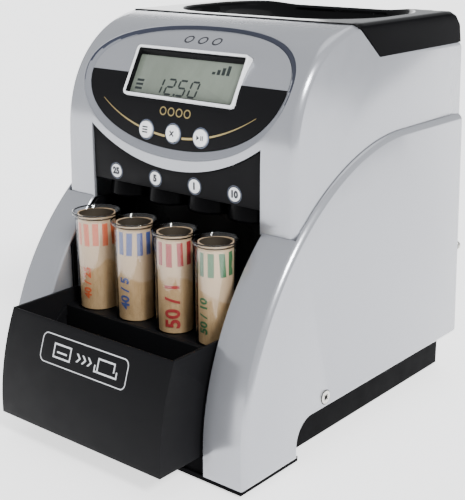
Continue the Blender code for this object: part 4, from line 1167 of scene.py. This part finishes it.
def lane_markers():
    """A white disc with its coin's value over each lane, in a thin dark and pale ring."""
    face_y = drawn("coin_fascia")[0].y
    z = 168.7
    for coin in COINS:
        low, high = drawn(f"lane_marker_{coin}")
        centre = Vector(((low.x + high.x) / 2, face_y, z))
        out = (0, -1, 0)
        disc = turned(disc_profile(4.6, 0.5, 0.02, 0.25, 0.05), centre, out, 48)
        piece(f"marker_{coin}", disc, white, "housing", [f"lane_marker_{coin}"])
        profile = [(5.3, 0.02), (5.3, 0.2), (5.65, 0.2), (5.65, 0.02)]
        ring = turned(profile, centre, out, 48, closed=True)
        piece(f"marker_ring_{coin}", ring, ring_ink, "housing")
        number = numerals(VALUES[coin], 6.0, 0.42)
        number.transform(plane(centre + Vector((0, -0.56, 0)), out))
        piece(f"marker_number_{coin}", number, dark_ink, "housing")


def fascia():
    """The black panel over the coin outlets, with a soft lower lip."""
    low, high = drawn("coin_fascia")
    half = OPENING_HALF - 0.3
    sweep = [(x, sweep_z(x) - 0.3) for x in spread(half, -half, 44)]
    outline = [(half, low.z), *sweep, (-half, low.z)]
    bm = prism(outline, "Y", low.y, high.y)
    piece("fascia_panel", bm, satin_black, "housing", ["coin_fascia"], bevel=0.5)


# ---------------------------------------------------------------- coins

def chutes():
    """Four round-nosed outlets with a rolled lower lip."""
    for coin in COINS:
        low, high = drawn(f"coin_chute_{coin}")
        x, radius = (low.x + high.x) / 2, (high.x - low.x) / 2
        centre_y = low.y + radius
        profile = rounded([(0.0, high.z, 0), (0.0, low.z + 11.0, 5.0), (-1.4, low.z + 1.6, 1.0),
                           (-0.9, low.z, 0.6), (0.6, low.z, 0.5), (1.6, low.z + 9.0, 4.0), (1.6, high.z, 0)],
                          closed=False)
        rings = []
        for distance, z in profile:
            r = radius - distance
            outline = [*arc((x, centre_y), r, 180, 360, 28), (x + r, high.y - 1), (x - r, high.y - 1)]
            rings.append([(px, py, z) for px, py in outline])
        bm = bmesh.new()
        sheet(bm, [*rings, rings[0]], closed=True)
        piece(f"chute_{coin}", bm, chute_black, "housing", [f"coin_chute_{coin}"])


def clear_tube(coin):
    """A clear tube with a thick rim, wider at its back, and a floor with a round hole."""
    low, high = drawn(f"coin_tube_{coin}")
    flare, wall = 2.0, 1.1
    outer = (high.x - low.x) / 2 - flare
    inner = outer - wall
    x, y = (low.x + high.x) / 2, low.y + outer + flare
    top, neck = high.z, high.z - 4.5
    lip = outer + flare
    profile = rounded([(outer, low.z, 0), (outer, neck, 3.0), (lip, top - 2.4, 1.2), (lip, top, 1.0),
                       (inner + flare - 0.3, top, 0.8), (inner, neck + 0.4, 3.0), (inner, low.z + 1.4, 0.6),
                       (3.0, low.z + 1.4, 0.2), (3.0, low.z, 0.2)])
    back = (high.y - y - lip) / outer

    def lean(point):
        """The rim reaches further towards the back than to the front."""
        share = min(max((point.z - neck) / (top - neck - 2), 0), 1)
        return Vector((point.x, point.y + back * share * max(point.y - y, 0) * outer / lip, point.z))

    bm = moved(turned(profile, (x, y, 0), steps=72, closed=True), lean)
    piece(f"tube_{coin}", bm, clear, f"{coin}_tube", [f"coin_tube_{coin}"])
    # Beads of darkened clear plastic at the rim and the neck: painted dark refraction of the surroundings
    # seen through the thick rim.
    beads = []
    for radius, z, thick in ((lip - 0.35, top - 0.75, 0.5), (inner + 0.3, top - 3.6, 0.4)):
        beads.append(turned(arc((radius, z), thick, 0, 330, 11), (x, y, 0), steps=72, closed=True))
    piece(f"tube_rim_{coin}", moved(joined(*beads), lean), rim_painted_dark_glass, f"{coin}_tube")


# What each wrapper says: coins in the roll and each one's value, its size, and how far round it is
ROLL_MARKS = {"quarter": ("40 / 25", 8.0, 2.4), "nickel": ("40 / 5", 9.5, 1.5),
              "penny": ("50 / 1", 13.5, 6.9), "dime": ("50 / 10", 8.5, -0.5)}


def rolled(bm, axis, radius):
    """Wrap a drawing in (across, height, out) round a vertical axis; across 0 faces the front."""
    def wrap(point):
        angle = point.x / radius - math.pi / 2
        return round_axis(axis, radius + point.z, angle, point.y)
    return moved(bm, wrap)


def round_axis(axis, radius, angle, z):
    """A point round a vertical axis (x, y)."""
    return Vector((axis[0] + radius * math.cos(angle), axis[1] + radius * math.sin(angle), z))


def paper_skin(draw, low, high, radius):
    """A wrapper's outer radius at an angle and a height: slightly wavy, with a slanted lapped edge."""
    lap = draw.uniform(-0.4, 0.2)
    slope = draw.uniform(0.010, 0.022)
    waves = [(draw.randint(2, 5), draw.uniform(0, 6.3), draw.uniform(0.03, 0.09)) for number in range(3)]

    def skin(angle, z):
        share = (z - low) / (high - low)
        wave = sum(depth * math.sin(count * angle + phase + 3 * share) for count, phase, depth in waves)
        past_edge = (angle - lap - slope * (z - low)) % (2 * math.pi)
        return radius - 0.2 + wave + (0.22 if 0 < past_edge < 2.0 else 0.0)

    return skin, lap


def wrapper(coin, draw):
    """A paper wrapper: a sleeve with a lapped edge, a dark inner sleeve of painted shade, colour bars and its
    count in numbers.
    """
    low, high = drawn(f"coin_wrapper_{coin}")
    axis = ((low.x + high.x) / 2, (low.y + high.y) / 2)
    radius = (high.x - low.x) / 2 - 0.25
    skin, lap = paper_skin(draw, low.z, high.z, radius)
    steps, levels = 96, 28
    rings = []
    for inward, order in ((0.0, range(levels + 1)), (0.35, range(levels, -1, -1))):
        for level in order:
            z = low.z + (high.z - low.z) * level / levels
            ring = []
            for angle in spread(-math.pi, math.pi, steps)[:-1]:
                top = 0.4 * math.sin(2 * angle + lap) * (level == levels)
                ring.append(round_axis(axis, skin(angle, z) - inward, angle, z + top))
            rings.append(ring)
    bm = bmesh.new()
    sheet(bm, [*rings, rings[0]], closed=True)
    body = f"{coin}_tube"
    piece(f"wrapper_{coin}", bm, paper, body, [f"coin_wrapper_{coin}"])
    # A dark sleeve just inside the paper: painted shade for the wrapper's inside.
    inner, shade_sleeve_top = radius - 0.9, high.z - 0.3
    shade_sleeve = [(inner, low.z), (inner, shade_sleeve_top), (inner - 0.2, shade_sleeve_top), (inner - 0.2, low.z)]
    sleeve = turned(shade_sleeve, (*axis, 0), closed=True)
    piece(f"wrapper_lining_{coin}", sleeve, paper_painted_shade, body)
    wrapper_bars(coin, draw, axis, radius, high.z - 5.0, skin)

    text, size, across = ROLL_MARKS[coin]
    number = numerals(text, size, 0.03 * size)
    sliced(number, (0, 1, 0), spread(-size / 2, size / 2, 12))
    moved(number, lambda p: Vector((across - p.y, p.x + low.z + 19.0, p.z)))
    piece(f"wrapper_number_{coin}", rolled(number, axis, radius + 0.16), INKS[coin], body)


def wrapper_bars(coin, draw, axis, radius, top, skin):
    """Upright colour bars round the top of a wrapper, cut unevenly and some of them slanted."""
    width, height, spacing = 4.1, 15.5, 7.0
    count = round(2 * math.pi * radius / spacing)
    pitch = 2 * math.pi * radius / count
    shift = draw.uniform(0, pitch)
    bm = bmesh.new()
    for number in range(count):
        start = shift + number * pitch
        drop = draw.uniform(-0.4, 0.4)
        cut = draw.uniform(-1.4, 1.4) if number % 3 == 0 else 0.0
        rows = []
        for z in spread(top + drop, top + drop - height, 8):
            row = []
            for across in spread(start, start + width, 4):
                angle = (across + cut * (top - z) / height) / radius - math.pi
                within = (angle + math.pi) % (2 * math.pi) - math.pi
                row.append(round_axis(axis, skin(within, z) + 0.04, angle, z))
            rows.append(row)
        sheet(bm, rows)
    obj = make_object(f"wrapper_bars_{coin}", bm, inside=(*axis, 100))
    thicken(obj, 0.1)
    dress(obj, INKS[coin], f"{coin}_tube")


# ---------------------------------------------------------------- tray

TRAY_TRAVEL = 35.0


def tray_front_points(steps):
    """The tray's front edge: the leg's curve, moved out by the tray's travel."""
    high = drawn("coin_tray")[1]
    rise = ((high.z - ARCH_FOOT_Z) / ARCH_RISE) ** ARCH_POWER
    y_end = ARCH_DEPTH * (1 - (1 - rise) ** (1 / ARCH_POWER))
    return [(y - TRAY_TRAVEL, z) for y, z in arch_points(steps, 0.0, y_end)]


def tray():
    """The pull-out tray: a thin-walled bin with a curved front, its gussets and its label."""
    low, high = drawn("coin_tray")
    front = tray_front_points(28)
    profile = [(high.y, high.z), (high.y, low.z), (low.y, low.z), *front]
    bm = bmesh.new()
    for row in sheet(bm, [[(side * high.x, y, z) for y, z in profile] for side in (-1, 1)]):
        cap(bm, row, support=0.8)
    obj = make_object("tray_bin", bm, inside=(0, 12, 50))
    thicken(obj, 2.3, even=True)
    round_edges(obj, 0.7, 50)
    dress(obj, satin_black, "tray", ["coin_tray"])
    rack_low, rack_high = drawn("tube_rack")
    back, top = rack_low.y - 0.2, rack_high.z
    slope = rounded([(back, top, 0.6), (-18, 45, 0.6), (-18, 40, 0.4), (back, top - 7, 0.4)], 3)
    gussets = [prism(slope, "X", side * (high.x - 2.2), side * (high.x - 4.0)) for side in (-1, 1)]
    piece("tray_gussets", joined(*gussets), satin_black, "tray", bevel=0.3)
    tray_label(front)


def divided(ring, longest=2.0):
    """A closed outline with points added along its long sides."""
    points = []
    for a, b in zip(ring, ring[1:] + ring[:1]):
        count = max(int((Vector(b) - Vector(a)).length / longest), 1)
        points += [tuple(Vector(a).lerp(Vector(b), i / count)) for i in range(count)]
    return points


def tray_label(front):
    """A rounded pale outline on the tray's front, with a tray-and-arrow sign in it."""
    middle, half, corner, line = (0.5, 71.3), (38.6, 9.2), 4.2, 0.6

    def laid(bm):
        """Move a drawing made as (x, out, z) onto the tray's front."""
        def on_tray(p):
            for (y0, z0), (y1, z1) in zip(front, front[1:]):
                if z0 <= p.z <= z1:
                    return Vector((p.x, y0 + (y1 - y0) * (p.z - z0) / (z1 - z0) + p.y, p.z))
        return moved(bm, on_tray)

    outer = divided(rounded_rectangle(half, corner, 8, middle))
    inner = divided(rounded_rectangle((half[0] - line, half[1] - line), corner - line, 8, middle))
    loops = ((outer, 0.0), (outer, -0.1), (inner, -0.1), (inner, 0.0), (outer, 0.0))
    bm = bmesh.new()
    sheet(bm, [[(x, y, z) for x, z in points] for points, y in loops], closed=True)
    piece("tray_label_outline", laid(bm), pale_ink, "tray")

    machine = [(-27, -4.5, -26, 4.5), (-26, 3.5, -12, 4.5), (-26, -4.5, -12, -3.5), (-12, -4.5, -11, 4.5),
               (-23.5, -1.2, -14.5, -0.2)]
    pulled_out = [(13, -4.5, 14, 4.5), (14, 3.5, 27, 4.5), (27, -1.2, 28, 4.5), (10.5, -4.5, 30.5, -3.5),
                  (10.5, -3.5, 11.5, -0.2), (29.5, -3.5, 30.5, -0.2)]
    outlines = [rectangle(*bar) for bar in machine + pulled_out]
    outlines += [[(x, side * 2.6), (x + 1.5, side * 2.6), (x + 4.1, 0), (x + 2.6, 0)]
                 for x in (-6, -1, 4) for side in (1, -1)]
    sign = joined(*(prism(outline, "Y", -0.1, 0.0) for outline in outlines))
    sign.transform(Matrix.Translation((middle[0], 0, middle[1])))
    sliced(sign, (0, 0, 1), spread(middle[1] - 4, middle[1] + 4, 8))
    piece("tray_label_sign", laid(sign), pale_ink, "tray")


# ---------------------------------------------------------------- pieces refined from the frame

# Material, body, slot and the width of the rounded edges, then the nodes
REFINED = (
    (base_black, "housing", "black_plastic", 0.6, "base_chassis"),
    (deep_black, "housing", "black_plastic", 0.4, "inner_frame"),
    (satin_black, "tray", "black_plastic", 0.5, "tube_rack"),
    (silver, "housing", "silver_plastic", 0.4, "rear_panel"),
    (deep_black, "housing", "black_plastic", 0.3, "power_inlet", "switch_body"),
    (satin_black, "rocker", "black_plastic", 0.35, "power_rocker"),
    (deep_black, "housing", "black_plastic", 0.2, "display_module"),
    (steel, "disc_drive", "steel", 0.3, "feed_disc"),
    (steel, "housing", "steel", 0.15, "sorting_plate"),
    (steel, "housing", "steel", 0.2, "coin_track"),
    (steel, "housing", "steel", 0.3, "mechanism_frame", "motor_bracket"),
    (steel, "housing", "steel", 0.6, "drive_motor"),
    (steel, "disc_drive", "steel", 0.3, "disc_shaft"),
    (bronze, "housing", "bronze", 0.2, "shaft_bush"),
    (nylon, "disc_drive", "nylon", 0.12, "disc_gear"),
    (nylon, "pinion", "nylon", 0.12, "motor_pinion"),
    (board, "housing", "circuit_board", 0.15, "display_board", "button_board"),
    (board, "housing", "circuit_board", 0.2, "control_board"),
    (plated, "housing", "steel", 0.2, "side_screw_left", "side_screw_right"),
    (plated, "housing", "steel", 0.25, "rear_screw_left", "rear_screw_right"),
    (rubber, "housing", "rubber", 0.25, *(f"rubber_foot_{corner}" for corner in ("fl", "fr", "rl", "rr"))),
)


# ---------------------------------------------------------------- stage, lights and camera

FLOOR_REACH = 40.0
CAMERA_PLACE = (0.46497, -0.44021 + LEG_FRONT, 0.33545)
CAMERA_YAW, CAMERA_PITCH, CAMERA_ROLL = 39.68, -17.4, -0.19


def sun(name, towards, power, spread_angle):
    """A soft, distant lamp that stands in the direction `towards`."""
    light = bpy.data.lights.new(name, "SUN")
    light.energy = power
    light.angle = math.radians(spread_angle)
    placed(name, light).rotation_euler = Vector(towards).to_track_quat("Z", "Y").to_euler()


def stage():
    """A pale floor, a white world and soft, distant studio lamps."""
    places = spread(-FLOOR_REACH, FLOOR_REACH, 4)
    bm = bmesh.new()
    sheet(bm, [[(x, y, 0.0) for x in places] for y in places])
    floor = placed("floor", as_mesh("floor", bm))
    floor.data.materials.append(floor_material())
    world = bpy.data.worlds.new("studio")
    bpy.context.scene.world = world
    world.use_nodes = True
    background = world.node_tree.nodes["Background"]
    background.inputs["Color"].default_value = (0.96, 0.98, 1.0, 1.0)
    background.inputs["Strength"].default_value = 0.75
    sun("key", (0.71, -0.25, 0.66), 3.2, 12.0)
    sun("top", (-0.1, 0.35, 0.93), 0.7, 50.0)
    sun("rim", (-0.75, 0.63, 0.13), 0.7, 30.0)


def camera():
    """The camera, a little above the machine and to its right."""
    data = bpy.data.cameras.new("camera")
    data.lens = 77.02
    data.sensor_width = 36.0
    data.clip_start = 0.02
    obj = placed("camera", data)
    place = Matrix.Translation(CAMERA_PLACE)
    for angle, axis in ((CAMERA_YAW, "Z"), (90 + CAMERA_PITCH, "X"), (CAMERA_ROLL, "Z")):
        place = place @ Matrix.Rotation(math.radians(angle), 4, axis)
    obj.matrix_world = place
    bpy.context.scene.camera = obj


# ---------------------------------------------------------------- building it

camera()
stage()
side_cover("left_side_cover", -1)
side_cover("right_side_cover", 1)
screw_cross_shade("left", -1)
screw_cross_shade("right", 1)
front = front_outline()
upper_shell(front)
recess(front)
hopper_lid()
oval_panel()
display()
push_buttons()
fascia()
lane_markers()
chutes()
draw = random.Random(7)
for coin in COINS:
    clear_tube(coin)
    wrapper(coin, draw)
tray()
for material, body, slot, bevel, *nodes in REFINED:
    for node in nodes:
        refine(node, material, body, bevel)
